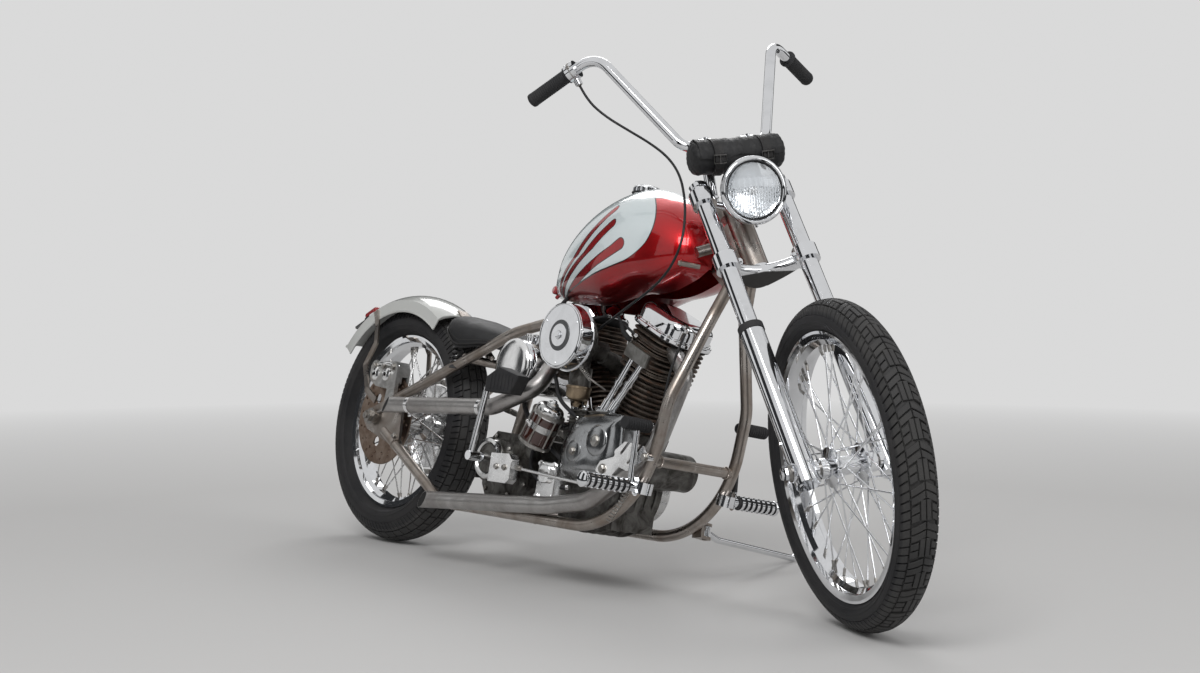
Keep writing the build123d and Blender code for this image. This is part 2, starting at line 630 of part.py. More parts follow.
# Tappet blocks on the right, under the pushrods
tappet_rows = [
    # middle x, length
    (956, 62),
    (881, 62),
]
TAPPET_TOP = 400.0
for x, length in tappet_rows:
    case = case + Pos(x, -91, TAPPET_TOP - 17) * Box(length, 50, 34)
generator = side_disc(1072, 285, 44, 78, -62)
case = case + generator + side_plate([(1000, 235), (1072, 241), (1072, 329), (980, 320)], 50, -50)

# Pushrod towers on the heads: place along each head for the front and the rear cylinder, and height
TOWER_X = {1: 6.0, -1: 30.0}
TOWER_FOOT = 318.0
cylinders = []
covers = []
for sign in (1, -1):
    place = cylinder_plane(sign)
    beyond = Pos(CRANK_X + sign * 1.5, 0, CRANK_Z) * Box(
        300, 300, 600, align=(Align.MAX if sign > 0 else Align.MIN, Align.CENTER, Align.MIN))
    barrel = Cylinder(BORE_R, BARREL_TOP - DECK, align=(Align.CENTER, Align.CENTER, Align.MIN))
    barrel = Pos(0, 0, DECK) * barrel
    fins = 9
    for n in range(fins):
        z = DECK + 16 + n * (BARREL_TOP - DECK - 16) / fins
        barrel = barrel + Pos(0, 0, z) * Cylinder(FIN_R, 4, align=(Align.CENTER, Align.CENTER, Align.MIN))
    head = Pos(0, 0, BARREL_TOP) * Box(92, 104, HEAD_TOP - BARREL_TOP, align=(Align.CENTER, Align.CENTER, Align.MIN))
    for n in range(6):
        z = BARREL_TOP + 4 + n * 15
        fin = RectangleRounded(132, 146, 34)
        head = head + Pos(0, 0, z) * extrude(fin, 5)
    head = head + Pos(TOWER_X[sign], -68, TOWER_FOOT + 16) * Box(84, 36, 32)
    cylinders.append(place.location * (barrel + head) - beyond - case)
    outline = RectangleRounded(178, 132, 46)
    pan = extrude(outline, COVER_TOP - HEAD_TOP)
    pan = fillet(pan.faces().sort_by(Axis.Z)[-1].edges(), 22)
    covers.append(place.location * Pos(0, 0, HEAD_TOP) * pan)
frame["crankcase"] = case
frame["cylinders"] = Compound(children=cylinders)
frame["rocker_covers"] = Compound(children=covers)

# Timing cover on the right, with its round bosses
timing_outline = [(852, 250), (905, 222), (1000, 232), (1054, 290), (1060, 372), (1040, 398), (900, 384), (846, 320)]
TIMING_OUT = -118.0
TIMING_TAPER = 14.0
timing_face = fillet(make_face(Polyline(*timing_outline, close=True)).vertices(), 26)
timing = extrude(side_plane(-CASE_HALF) * timing_face, -CASE_HALF - TIMING_OUT, taper=TIMING_TAPER)
timing_bosses = [
    # x, z, radius, height
    (990, 330, 38, 8),
    (905, 296, 30, 5),
]
for x, z, radius, height in timing_bosses:
    timing = timing + side_disc(x, z, radius, TIMING_OUT + 1, TIMING_OUT - height)
timing = timing - case
frame["timing_cover"] = timing

# Pushrod tubes, from the tappet blocks up to the towers
pushrods = []
pushrod_rows = [
    # cylinder, foot x, place along the head
    (1, 942, -14),
    (1, 970, 26),
    (-1, 894, 50),
    (-1, 868, 10),
]
for sign, foot_x, along in pushrod_rows:
    foot = Vector(foot_x, -98, TAPPET_TOP - 6)
    top = turned_by(cylinder_plane(sign).location, (along, -72, TOWER_FOOT + 4))
    line = (top - foot).normalized()
    tube_piece = rod(foot, top, 8.5) + rod(foot, foot + line * 40, 12.0) + rod(foot + line * 82, foot + line * 92, 11.0)
    pushrods.append(cut(tube_piece, case, *cylinders))
frame["pushrod_tubes"] = Compound(children=pushrods)

# Carburettor between the cylinders, and the round air cleaner on it
AIR_X = 862.0
AIR_Z = 566.0
AIR_R = 79.0
AIR_OUT = -192.0
AIR_IN = -152.0
carburettor = rod((876, -60, 545), (868, AIR_IN, 556), 24.0)
gland_foot = Vector(870.6, -122, 552.4)
gland_line = Vector(0.75, 0.0135, 0.66).normalized()
gland_end = gland_foot + gland_line * 32
carburettor = carburettor + rod(gland_foot, gland_end, 6.0)
carburettor = carburettor + rod((872, -118, 430), (872, -118, 500), 27.0) + rod((872, -118, 480), (872, -118, 560), 20.0)
carburettor = carburettor + rod((820, 0, 520), (962, 0, 520), 20.0) + rod((890, 0, 520), (884, -70, 536), 20.0)
carburettor = cut(carburettor, *cylinders, *pushrods, case)
frame["carburettor"] = carburettor.solids().sort_by(SortBy.VOLUME)[-1]
air_cleaner = side_disc(AIR_X, AIR_Z, AIR_R, AIR_IN, AIR_OUT)
air_cleaner = fillet(air_cleaner.faces().sort_by(Axis.Y)[0].edges(), 7)
air_cleaner = air_cleaner + side_disc(AIR_X, AIR_Z, 27, AIR_OUT, AIR_OUT - 3) - frame["carburettor"]
frame["air_cleaner"] = air_cleaner

PIPE_R = 21.0
PIPE_BORE = 19.0
PIPE_Y = 162.0

# Gearbox, kick starter, primary cover, chain
KICK_X = 588.0
KICK_Z = 258.0
KICK_FACE = -146.0
gearbox = side_plate([(525, 195), (545, 165), (690, 165), (712, 200), (705, 320), (560, 330), (525, 300)], 66, -104)
kick_cover = side_disc(KICK_X, KICK_Z, 52, -104, -136) + side_disc(KICK_X, KICK_Z, 36, -136, KICK_FACE)
kick_cover = kick_cover + side_plate([(KICK_X, 206), (660, 214), (676, 250), (660, 300), (KICK_X, 310)], -104, -128)
gearbox = gearbox + kick_cover + side_disc(SPROCKET_X, SPROCKET_Z, FRONT_CHAIN_R - CHAIN_HEIGHT / 2 - CLEAR, CHAIN_Y + 4, 60)
gearbox = gearbox - case
frame["gearbox"] = gearbox

KICK_Y = PIPE_Y + PIPE_R + 15.0
kick_top = (616, -KICK_Y, 428)
kick_shaft = rod((KICK_X, KICK_FACE, KICK_Z), (KICK_X, -KICK_Y - 8, KICK_Z), 12.0)
kick_arm = rod((KICK_X, -KICK_Y, KICK_Z), kick_top, 8.0)
pedal_outline = [(634, 422), (731, 420), (756, 460), (678, 477), (634, 451)]
PEDAL_HALF = 18.0
pedal = side_plate(pedal_outline, PEDAL_HALF - KICK_Y, -PEDAL_HALF - KICK_Y)
pedal = fillet(pedal.edges(), 5)
kick_pin = rod(kick_top, (650, -KICK_Y, 438), 8.0)
frame["kick_starter"] = kick_shaft + kick_arm + kick_pin + pedal

primary_face = belt_outline(CRANK_X, CRANK_Z, 80, 612, 272, 104)
primary = extrude(side_plane(138) * primary_face, 138 - 90)
primary = fillet(primary.faces().sort_by(Axis.Y)[-1].edges(), 10)
primary = primary + side_disc(CRANK_X, CRANK_Z, 30, 90, CASE_HALF)
primary = primary - case
frame["primary_cover"] = primary

chain_ends = (0, REAR_TYRE_R, REAR_CHAIN_R, SPROCKET_X, SPROCKET_Z, FRONT_CHAIN_R)


def chain_outline(grow):
    x1, z1, r1, x2, z2, r2 = chain_ends
    return belt_outline(x1, z1, r1 + grow, x2, z2, r2 + grow)


chain = extrude(side_plane(CHAIN_Y + CHAIN_HALF) * (chain_outline(CHAIN_HEIGHT / 2) - chain_outline(-CHAIN_HEIGHT / 2)), 2 * CHAIN_HALF)
frame["chain"] = chain

# Exhaust pipes
def outlet_run(line, bend):
    """Where the last straight run begins after its bend, and its direction."""
    corner = Vector(*line[-2])
    back = (Vector(*line[-1]) - corner).normalized()
    turn = math.radians((corner - Vector(*line[-3])).get_angle(back))
    return corner + back * (bend * math.tan(turn / 2) + 2), back


def exhaust(line, bends, outlet):
    end = Vector(*line[-1])
    run_start, back = outlet_run(line, bends[-1])
    pipe = bent([*line[:-1], tuple(run_start)], bends, PIPE_R) + rod(run_start, end, PIPE_R)
    pipe = pipe - rod(end - back * outlet, end + back, PIPE_BORE)
    slash = Box(60, 200, 200, align=(Align.MIN, Align.CENTER, Align.CENTER))
    slash = Location(end + back * 10) * Rot(0, 0, 180) * Rot(0, 35, 0) * slash
    return pipe - slash


upper_line = [(700, -58, 535), (714, -118, 446), (600, -PIPE_Y, 384), (156, -PIPE_Y, 367)]
lower_line = [(1092, -30, 560), (1176, -62, 505), (1150, -102, 312), (1010, -152, 188), (860, -153, 165), (415, -172, 134)]
upper_bends = [52, 70]
lower_bends = [45, 110, 90, 200]
frame["upper_exhaust"] = cut(exhaust(upper_line, upper_bends, 120), *cylinders)
frame["lower_exhaust"] = cut(exhaust(lower_line, lower_bends, 120), *cylinders, down_tube, mirror_y(down_tube))

# Oil tank: a round drum across the frame behind the engine, with domed ends
OIL_X = 600.0
OIL_Z = 498.0
OIL_R = 66.0
oil = side_disc(OIL_X, OIL_Z, OIL_R, 118, -118)
oil = fillet(oil.edges(), 24)
oil = oil + rod((OIL_X, -70, OIL_Z), (OIL_X, -70, OIL_Z + OIL_R + 12), 16.0)
frame["oil_tank"] = oil - backbone - seat_post - cylinders[1] - stay - mirror_y(stay)

canister_foot = Vector(768, -150, 298)
canister_line = Vector(0.42, 0.05, 0.9).normalized()
canister = rod(canister_foot, canister_foot + canister_line * 114, 35.0)
canister = fillet(canister.edges(), 14)
canister = canister + rod(canister_foot + canister_line * 50, canister_foot + canister_line * 66, 39.0)
canister = canister + rod((820, -52, 364), (800, -135, 354), 10.0)
frame["side_canister"] = cut(canister, timing, gearbox, case, *cylinders)

# Foot controls
PEG_X = 1157.0
PEG_Z = 236.0


def foot_peg(y_in, y_out):
    peg = rod((PEG_X, y_in, PEG_Z), (PEG_X, y_out, PEG_Z), 12.0)
    step = (y_out - y_in) / 9.0
    for n in range(2, 9):
        y = y_in + n * step
        peg = peg + rod((PEG_X, y, PEG_Z), (PEG_X, y + step * 0.5, PEG_Z), 17.0)
    return peg


clamp_block = rod((PEG_X + 6, -RAIL_Y, PEG_Z - 12), (PEG_X + 10, -RAIL_Y, PEG_Z + 14), 22.0)
right_peg = foot_peg(-146, -296) + clamp_block
right_arm = rod((PEG_X, -164, PEG_Z), (1158, -166, 372), 7.0) + rod((1158, -128, 374), (1158, -205, 374), 12.0)
frame["right_foot_control"] = cut(right_peg + right_arm, mirror_y(down_tube))
left_peg = mirror_y(foot_peg(-146, -296) + clamp_block)
left_arm = rod((PEG_X, 164, PEG_Z), (1142, 166, 408), 7.0) + rod((1142, 160, 410), (1142, 250, 410), 12.0)
frame["left_foot_control"] = cut(left_peg + left_arm, down_tube)

master = side_plate([(644, 202), (644, 272), (716, 274), (728, 262), (728, 212), (716, 202)], -152, -176)
brake_rod = rod((720, -164, 244), (1053, -178, 224), 4.0) + rod((1053, -178, 224), (PEG_X - 4, -166, PEG_Z + 14), 5.0)
frame["brake_linkage"] = master + brake_rod - frame["lower_exhaust"] - frame["right_foot_control"] - gearbox

caliper_left = DISC_LEFT + 13
caliper_right = DISC_RIGHT - 26


def over_axle(points):
    return [(x, REAR_TYRE_R + z) for x, z in points]


caliper = side_plate(over_axle([(-68, 104), (-68, 142), (66, 142), (66, 98), (30, 80), (-30, 86)]), caliper_left, caliper_right)
for x in (-48, -1, 46):
    caliper = caliper + side_disc(x, REAR_TYRE_R + 142, 16, caliper_left, caliper_right)
for x in (-36, 20):
    caliper = caliper + side_disc(x, REAR_TYRE_R + 118, 15, caliper_right + 1, caliper_right - 5)
slot = side_disc(0, REAR_TYRE_R, DISC_R + 6, DISC_LEFT + 6, DISC_RIGHT - 6)
caliper = caliper - slot
bridge = side_plate(over_axle([(20, 18), (66, 18), (66, 108), (30, 98)]), DISC_RIGHT - 14, caliper_right)
frame["brake_caliper"] = caliper + bridge - stay - mirror_y(stay) - mirror_y(axle_plate)

# Side shield in front of the timing cover, cut with plain flames, on a boss from the right down tube
SIDE_OUT = -155.0
SIDE_T = 4.0
shield_outline = [
    (1110, 334), (1170, 330), (1197, 308), (1171, 290), (1130, 268), (1101, 276), (1074, 249), (1054, 251), (1019, 260),
    (1033, 284), (1082, 298), (1078, 311),
]
shield_slots = [
    # from x, z at the edge to x, z inside
    (1136, 346, 1103, 308),
    (1178, 342, 1130, 288),
]
shield_face = fillet(make_face(Polyline(*shield_outline, close=True)).vertices(), 5)
shield = extrude(side_plane(SIDE_OUT + SIDE_T) * shield_face, SIDE_T)
for x1, z1, x2, z2 in shield_slots:
    shield = shield - flat_bar((x1, SIDE_OUT + SIDE_T / 2, z1), (x2, SIDE_OUT + SIDE_T / 2, z2), 8, 3 * SIDE_T)
    shield = shield - side_disc(x2, z2, 4, SIDE_OUT + SIDE_T + 1, SIDE_OUT - 1)
shield = shield - side_disc(1045, 267, 5, SIDE_OUT + SIDE_T + 1, SIDE_OUT - 1)
shield = shield + rod((1184, -124, 304), (1184, SIDE_OUT + SIDE_T, 304), 8.0) - mirror_y(down_tube)
frame["side_shield"] = shield.solids().sort_by(Axis.Y)[0]

# Throttle cable, held along its route
CABLE_R = 3.0
cable_start = turned_by(turned, spout_end + spout_line * GAP)
cable_second = turned_by(turned, spout_end + spout_line * 42)
cable_last = gland_end + gland_line * GAP
cable_route = [
    tuple(cable_start), tuple(cable_second), (896, -180, 1098), (950, -146, 1068), (1012, -127, 1038),
    (1076, -120, 1002), (1130, -124, 956), (1168, -134, 900), (1200, -152, 846), (1218, -167, 790), (1202, -172, 734),
    (1152, -166, 692), (1088, -154, 664), (1024, -140, 640), (964, -127, 616),
    tuple(cable_last + gland_line * 34), tuple(cable_last),
]
cable_radii = []
for before, here, after in zip(cable_route, cable_route[1:], cable_route[2:]):
    arrive = Vector(*here) - Vector(*before)
    leave = Vector(*after) - Vector(*here)
    turn = math.radians(arrive.get_angle(leave))
    cable_radii.append(0.45 * min(arrive.length, leave.length) / math.tan(turn / 2))
cable = bent(cable_route, cable_radii, CABLE_R)
frame["throttle_cable"] = cable

# Stance: steering turned, then leaned until both tyres stand on the ground
lean_over = Rot(-LEAN, 0, 0)


def lowest_of_wheel(centre, axle_line, tyre_r, half):
    """The lowest point of a leaning tyre, on the edge of its crown."""
    level = math.sqrt(1 - axle_line.Z ** 2)
    return centre.Z - tyre_r * level - CROWN_SHARE * half * abs(axle_line.Z)


front_place = lean_over * turned
front_low = lowest_of_wheel(
    turned_by(front_place, front_axle_at), direction_by(front_place, (0, 1, 0)), FRONT_TYRE_R, FRONT_TYRE_HALF
)
rear_low = lowest_of_wheel(
    turned_by(lean_over, rear_axle_at), direction_by(lean_over, (0, 1, 0)), REAR_TYRE_R, REAR_TYRE_HALF
)
pitch = math.degrees(math.atan2(front_low - rear_low, WHEELBASE))
stance = Rot(0, pitch, 0) * Pos(0, 0, -rear_low) * lean_over

# Side stand: from its pivot under the left rail to a foot on the ground
stand = {}
STAND_R = 8.0
foot_ground = (965.0, 606.0)


def bike_point(x, y, z):
    """The place on the upright bike of a point given over the ground."""
    return turned_by(stance.inverse(), (x, y, z))


pivot_at = Vector(1072, 168, 158)
stand_axis = Vector(-0.142, 0.097, 0.985).normalized()
STAND_EYE_R = 13.0
STAND_EYE_HALF = 12.0
STAND_PIN_R = 6.0
knee = Vector(1060, 222, 142)
foot_low = bike_point(foot_ground[0], foot_ground[1], STAND_R)
toe = bike_point(foot_ground[0] - 8, foot_ground[1] + 34, STAND_R + 20)
pin = rod(pivot_at - stand_axis * 21, pivot_at + stand_axis * 21, STAND_PIN_R)
pin_hole = rod(pivot_at - stand_axis * 40, pivot_at + stand_axis * 40, STAND_PIN_R + GAP)
stand_leg = bent([pivot_at, knee, foot_low, toe], [60, 14], STAND_R)
stand_eye = rod(pivot_at - stand_axis * STAND_EYE_HALF, pivot_at + stand_axis * STAND_EYE_HALF, STAND_EYE_R)
stand["side_stand"] = stand_leg + stand_eye - pin_hole
BRACKET_WALL = 6.0
BRACKET_REACH = 27.0
bracket_place = Location(Plane(origin=pivot_at, x_dir=(1, 0, 0), z_dir=stand_axis))
web_height = 2 * (STAND_EYE_HALF + CLEAR + BRACKET_WALL)
stand_bracket = Pos(0, 4 - BRACKET_REACH, 0) * Box(30, 8, web_height)
for s in (1, -1):
    middle = s * (STAND_EYE_HALF + CLEAR + BRACKET_WALL / 2)
    cheek = Pos(0, 0, middle) * Cylinder(STAND_EYE_R + 2, BRACKET_WALL)
    arm = Pos(0, -BRACKET_REACH / 2, middle) * Box(30, BRACKET_REACH, BRACKET_WALL)
    stand_bracket = stand_bracket + cheek + arm
frame["stand_bracket"] = bracket_place * stand_bracket + pin - down_tube

# Set every piece in place, then put the origin at the middle of the whole thing's footprint
bodies = {"frame": (frame, stance), "fork": (fork, stance * turned), "side_stand": (stand, stance)}
bodies["front_wheel"] = (wheel_front, stance * turned * Pos(*front_axle_at))
bodies["rear_wheel"] = (wheel_rear, stance * Pos(*rear_axle_at))
placed = {}
for body, (nodes, place) in bodies.items():
    for name, shape in nodes.items():
        placed[name] = place * shape

low = Vector(1e9, 1e9, 1e9)
high = Vector(-1e9, -1e9, -1e9)
for shape in placed.values():
    box = shape.bounding_box()
    low = Vector(min(low.X, box.min.X), min(low.Y, box.min.Y), min(low.Z, box.min.Z))
    high = Vector(max(high.X, box.max.X), max(high.Y, box.max.Y), max(high.Z, box.max.Z))
to_origin = Pos(-(low.X + high.X) / 2, -(low.Y + high.Y) / 2, -low.Z)

os.makedirs("parts", exist_ok=True)
for name, shape in placed.items():
    export_step(to_origin * shape, os.path.join("parts", name + ".step"))

print("size", [round(v, 1) for v in (high - low)])
print("shift", [round(v, 2) for v in to_origin.position], "pitch", round(pitch, 3))
on_ground = to_origin * stance
steered = on_ground * turned
print("steering", turned_by(on_ground, steer_point), direction_by(on_ground, steer_axis))
print("front axle", turned_by(steered, front_axle_at), direction_by(steered, (0, 1, 0)))
print("rear axle", turned_by(on_ground, rear_axle_at), direction_by(on_ground, (0, 1, 0)))
print("stand", turned_by(on_ground, pivot_at), direction_by(on_ground, stand_axis))
print("cable bends", [round(r) for r in cable_radii])
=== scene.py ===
import json
import math

import bmesh
import bpy
from mathutils import Matrix, Vector


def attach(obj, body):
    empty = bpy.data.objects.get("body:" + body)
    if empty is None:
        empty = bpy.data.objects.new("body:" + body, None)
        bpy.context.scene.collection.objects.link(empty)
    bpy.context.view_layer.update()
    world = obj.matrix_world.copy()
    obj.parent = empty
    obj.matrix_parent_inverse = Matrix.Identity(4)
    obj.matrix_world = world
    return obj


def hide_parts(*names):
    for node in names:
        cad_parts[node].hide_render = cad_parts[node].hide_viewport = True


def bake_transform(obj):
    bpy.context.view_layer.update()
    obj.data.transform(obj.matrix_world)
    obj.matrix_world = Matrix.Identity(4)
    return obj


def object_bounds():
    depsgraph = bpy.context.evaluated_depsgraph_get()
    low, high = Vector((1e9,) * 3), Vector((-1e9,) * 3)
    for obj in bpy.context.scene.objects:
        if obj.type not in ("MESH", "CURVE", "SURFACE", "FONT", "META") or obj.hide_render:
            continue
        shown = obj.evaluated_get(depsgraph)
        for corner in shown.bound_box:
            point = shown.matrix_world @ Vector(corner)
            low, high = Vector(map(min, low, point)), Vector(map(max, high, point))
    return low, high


# The chopper: bare steel frame, candy red tank, chrome fork and laced wheels, dark V-twin
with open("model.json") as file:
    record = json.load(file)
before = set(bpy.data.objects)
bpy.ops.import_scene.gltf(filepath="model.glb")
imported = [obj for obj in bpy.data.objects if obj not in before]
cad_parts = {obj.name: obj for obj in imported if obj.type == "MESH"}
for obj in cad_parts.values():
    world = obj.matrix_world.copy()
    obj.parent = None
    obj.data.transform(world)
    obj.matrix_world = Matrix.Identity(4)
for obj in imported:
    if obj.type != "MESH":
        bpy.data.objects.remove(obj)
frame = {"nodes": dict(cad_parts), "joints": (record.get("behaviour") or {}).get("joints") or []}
CAD_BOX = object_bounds()
CENTRE = (CAD_BOX[0] + CAD_BOX[1]) / 2

# The bike's own axes, from its joints. Metres, the rear axle above the origin, +X forward
RAKE = math.radians(35.8)
STEER = math.radians(28.46)
REAR_TYRE_R = 0.332
FRONT_TYRE_R = 0.345
WHEELBASE = 1.6697
FORK_OFFSET = 0.060
joint_at = {j["name"]: (Vector(j["pos_m"]), Vector(j["axis"]).normalized()) for j in frame["joints"]}
rear_axle, across = joint_at["rear_wheel_spin"]
steer_at, steer_axis = joint_at["steering"]
ahead = (across.cross(steer_axis) * math.cos(RAKE) - steer_axis * math.sin(RAKE)).normalized()
upward = ahead.cross(across).normalized()


def axes_matrix(x, y, z, origin=(0, 0, 0)):
    """A place at the origin whose own axes are x, y and z."""
    return Matrix.Translation(origin) @ Matrix((x, y, z)).transposed().to_4x4()


BIKE = axes_matrix(ahead, across, upward, rear_axle - upward * REAR_TYRE_R)
TURN = Matrix.Translation(steer_at) @ Matrix.Rotation(-STEER, 4, steer_axis) @ Matrix.Translation(-steer_at)
FORK = TURN @ BIKE
REAR_WHEEL = BIKE @ Matrix.Translation((0, 0, REAR_TYRE_R))
FRONT_WHEEL = FORK @ Matrix.Translation((WHEELBASE, 0, FRONT_TYRE_R))
fork_forward = Vector((math.cos(RAKE), 0, math.sin(RAKE)))
fork_up = Vector((-math.sin(RAKE), 0, math.cos(RAKE)))
fork_origin = Vector((WHEELBASE, 0, FRONT_TYRE_R)) - fork_forward * FORK_OFFSET


def at_fork(forward, side, up):
    """A place on the fork in millimetres: in front of the steering axis, sideways, and up along it."""
    return fork_origin * 1000 + fork_forward * forward + Vector((0, side, 0)) + fork_up * up


def linked(name, data):
    made = bpy.data.objects.new(name, data)
    bpy.context.scene.collection.objects.link(made)
    return made


def turn_to(thing, line):
    """Points a camera or a lamp along the line."""
    thing.rotation_mode = "QUATERNION"
    thing.rotation_quaternion = line.to_track_quat("-Z", "Y")


# Camera, from the photograph's viewing angle
VIEW_FROM_REAR_AXLE = Vector((4.0511, -2.6631, 0.3836))
VIEW_AZIMUTH = math.radians(50.343)
VIEW_ELEVATION = math.radians(1.6885)
camera_data = bpy.data.cameras.new("camera")
camera_data.sensor_width = 36.0
camera_data.lens = 51.55
camera = linked("camera", camera_data)
camera.location = rear_axle + VIEW_FROM_REAR_AXLE
turn_to(camera, Vector((
    -math.sin(VIEW_AZIMUTH) * math.cos(VIEW_ELEVATION),
    math.cos(VIEW_AZIMUTH) * math.cos(VIEW_ELEVATION),
    -math.sin(VIEW_ELEVATION),
)))
bpy.context.scene.camera = camera
bpy.context.scene.view_settings.view_transform = "Standard"


# Shader maths

class Value:
    """A socket in a node tree. The operators add Math nodes."""

    def __init__(self, nodes, socket):
        self.nodes = nodes
        self.socket = socket

    def math(self, operation, *values, clamp=False):
        return self.nodes.node("Math", {"operation": operation, "use_clamp": clamp}, dict(enumerate(values)))

    def __add__(self, other):
        return self.math("ADD", self, other)

    def __sub__(self, other):
        return self.math("SUBTRACT", self, other)

    def __rsub__(self, other):
        return self.math("SUBTRACT", other, self)

    def __mul__(self, other):
        return self.math("MULTIPLY", self, other)

    def __truediv__(self, other):
        return self.math("DIVIDE", self, other)

    __radd__ = __add__
    __rmul__ = __mul__

    def __abs__(self):
        return self.math("ABSOLUTE", self)

    def least(self, other):
        return self.math("MINIMUM", self, other)

    def most(self, other):
        return self.math("MAXIMUM", self, other)

    def root(self):
        return self.math("SQRT", self)

    def below(self, edge, soft):
        """1 under the edge and 0 over it, with a soft step."""
        return self.math("ADD", (edge - self) / soft, 0.5, clamp=True)


class Nodes:
    """A node tree, and the ways in which nodes are added to it."""

    def __init__(self, tree):
        self.tree = tree

    def feed(self, socket, value):
        if isinstance(value, Value):
            self.tree.links.new(value.socket, socket)
        elif isinstance(value, tuple) and socket.type == "RGBA":
            socket.default_value = (*value, 1.0)
        else:
            socket.default_value = value

    def node(self, kind, settings=None, values=None, out=0):
        made = self.tree.nodes.new("ShaderNode" + kind)
        for key, value in (settings or {}).items():
            if key == "stops":
                ramp = made.color_ramp
                while len(ramp.elements) < len(value):
                    ramp.elements.new(0.5)
                for element, (place, grey) in zip(ramp.elements, value):
                    element.position = place
                    element.color = (grey, grey, grey, 1.0)
            else:
                setattr(made, key, value)
        for key, value in (values or {}).items():
            self.feed(made.inputs[key], value)
        return Value(self, made.outputs[out])

    def place(self):
        """The place in the object's own coordinates, in metres."""
        return self.node("TexCoord", out=3)

    def span(self, matrix):
        """The place on the matrix's axes, as three values."""
        back_to = matrix.inverted()
        place = self.place()
        found = []
        for row in back_to[:3]:
            dot = self.node("VectorMath", {"operation": "DOT_PRODUCT"}, {0: place, 1: tuple(row[:3])}, 1)
            found.append(dot + row[3])
        return found

    def noise(self, scale, detail=3.0, rough=0.5, distortion=0.0):
        values = {"Scale": scale, "Detail": detail, "Roughness": rough, "Distortion": distortion}
        return self.node("TexNoise", None, {"Vector": self.place(), **values})

    def clouds(self, scale, detail, rough, low, high, distortion=0.0):
        """Noise that is 0 under low, 1 over high and even between."""
        return self.ramp(self.noise(scale, detail, rough, distortion), (low, 0.0), (high, 1.0))

    def cells(self, scale, feature="F1", out=0):
        return self.node("TexVoronoi", {"feature": feature}, {"Vector": self.place(), "Scale": scale}, out)

    def ramp(self, value, *stops):
        return self.node("ValToRGB", {"stops": stops}, {0: value})

    def mix(self, factor, first, second):
        return self.node("Mix", {"data_type": "RGBA"}, {0: factor, 6: first, 7: second}, 2)

    def bump(self, height, distance, strength):
        return self.node("Bump", None, {"Height": height, "Distance": distance, "Strength": strength})

    def backdrop_rays(self):
        """1 on camera, glossy and transmission rays, so that metal and glass show the background too."""
        shown = self.node("LightPath")
        for kind in (3, 6):
            shown = shown.most(self.node("LightPath", out=kind))
        return shown


class Shader(Nodes):
    """A material and its Principled surface. What is the same all over is set when it is made."""

    def __init__(self, name, **fixed):
        self.material = bpy.data.materials.new(name)
        self.material.use_nodes = True
        super().__init__(self.material.node_tree)
        self.surface = self.tree.nodes["Principled BSDF"]
        self.give(**fixed)

    def give(self, **values):
        """Sets or feeds the surface's sockets."""
        for key, value in values.items():
            self.feed(self.surface.inputs[key.replace("_", " ").title().replace("Ior", "IOR")], value)
        return self.material


CHROME = (0.82, 0.83, 0.85)


def toned(color, share):
    return tuple(c * share for c in color)


def chrome(name, tint, rough, haze, dirt):
    s = Shader(name, metallic=1.0)
    smear = s.clouds(22.0, 5.0, 0.62, 0.42, 0.75, distortion=0.4)
    pits = s.clouds(420.0, 2.0, 0.6, 0.60, 0.72)
    return s.give(
        base_color=s.mix(smear, tint, toned(tint, 1.0 - dirt)),
        roughness=smear * haze + pits * 0.14 + rough,
        normal=s.bump(s.noise(60.0, 2.0), 0.00006, 0.5),
    )


def part_chrome(name, chromed, dark, dark_rough, bright_rough):
    """Chrome where the function chromed says so, and dark elsewhere."""
    s = Shader(name)
    bright = chromed(s)
    smear = s.clouds(22.0, 5.0, 0.62, 0.42, 0.75)
    return s.give(
        base_color=s.mix(bright, dark, CHROME),
        metallic=bright,
        roughness=dark_rough - bright * (dark_rough - bright_rough) + smear * 0.06,
    )


def clamp_front(s):
    """The front bar of the clamp is bright chrome, and behind and under it the clamp is painted near black as
    painted shade.
    """
    x, y, z = s.span(FORK)
    forward = (x - fork_origin.x) * fork_forward.x + (z - fork_origin.z) * fork_forward.z
    return 1.0 - (forward + abs(y) * 0.12).below(0.030, 0.003)


def under_the_arm(s):
    """The arm over the peg is painted black, and what is below it is chrome."""
    return s.span(BIKE)[2].below(0.2605, 0.0006)


def barrel_iron(name):
    """Rust-brown iron barrels, and grey alloy on the head's block that faces the pushrods."""
    s = Shader(name, metallic=0.85)
    block = s.span(BIKE)[1].below(-0.0795, 0.0006)
    pores = s.noise(540.0, 4.0, 0.7)
    stain = s.clouds(24.0, 7.0, 0.65, 0.38, 0.62, distortion=0.8)
    spots = s.clouds(48.0, 8.0, 0.72, 0.5, 0.66)
    iron = s.mix(spots * 0.7, s.mix(stain, (0.20, 0.17, 0.145), (0.085, 0.07, 0.06)), (0.22, 0.115, 0.07))
    grey = s.mix(stain, (0.34, 0.335, 0.32), (0.17, 0.165, 0.155))
    return s.give(
        base_color=s.mix(block, iron, grey),
        roughness=stain * 0.18 + pores * 0.2 + 0.40,
        normal=s.bump(pores, 0.0004, 0.7),
    )


def cast_metal(name, color, dark, rough):
    s = Shader(name, metallic=0.85)
    pores = s.noise(540.0, 4.0, 0.7)
    stain = s.clouds(24.0, 7.0, 0.65, 0.38, 0.62, distortion=0.8)
    return s.give(
        base_color=s.mix(stain, color, dark),
        roughness=stain * 0.18 + pores * 0.2 + (rough - 0.15),
        normal=s.bump(pores, 0.0004, 0.7),
    )


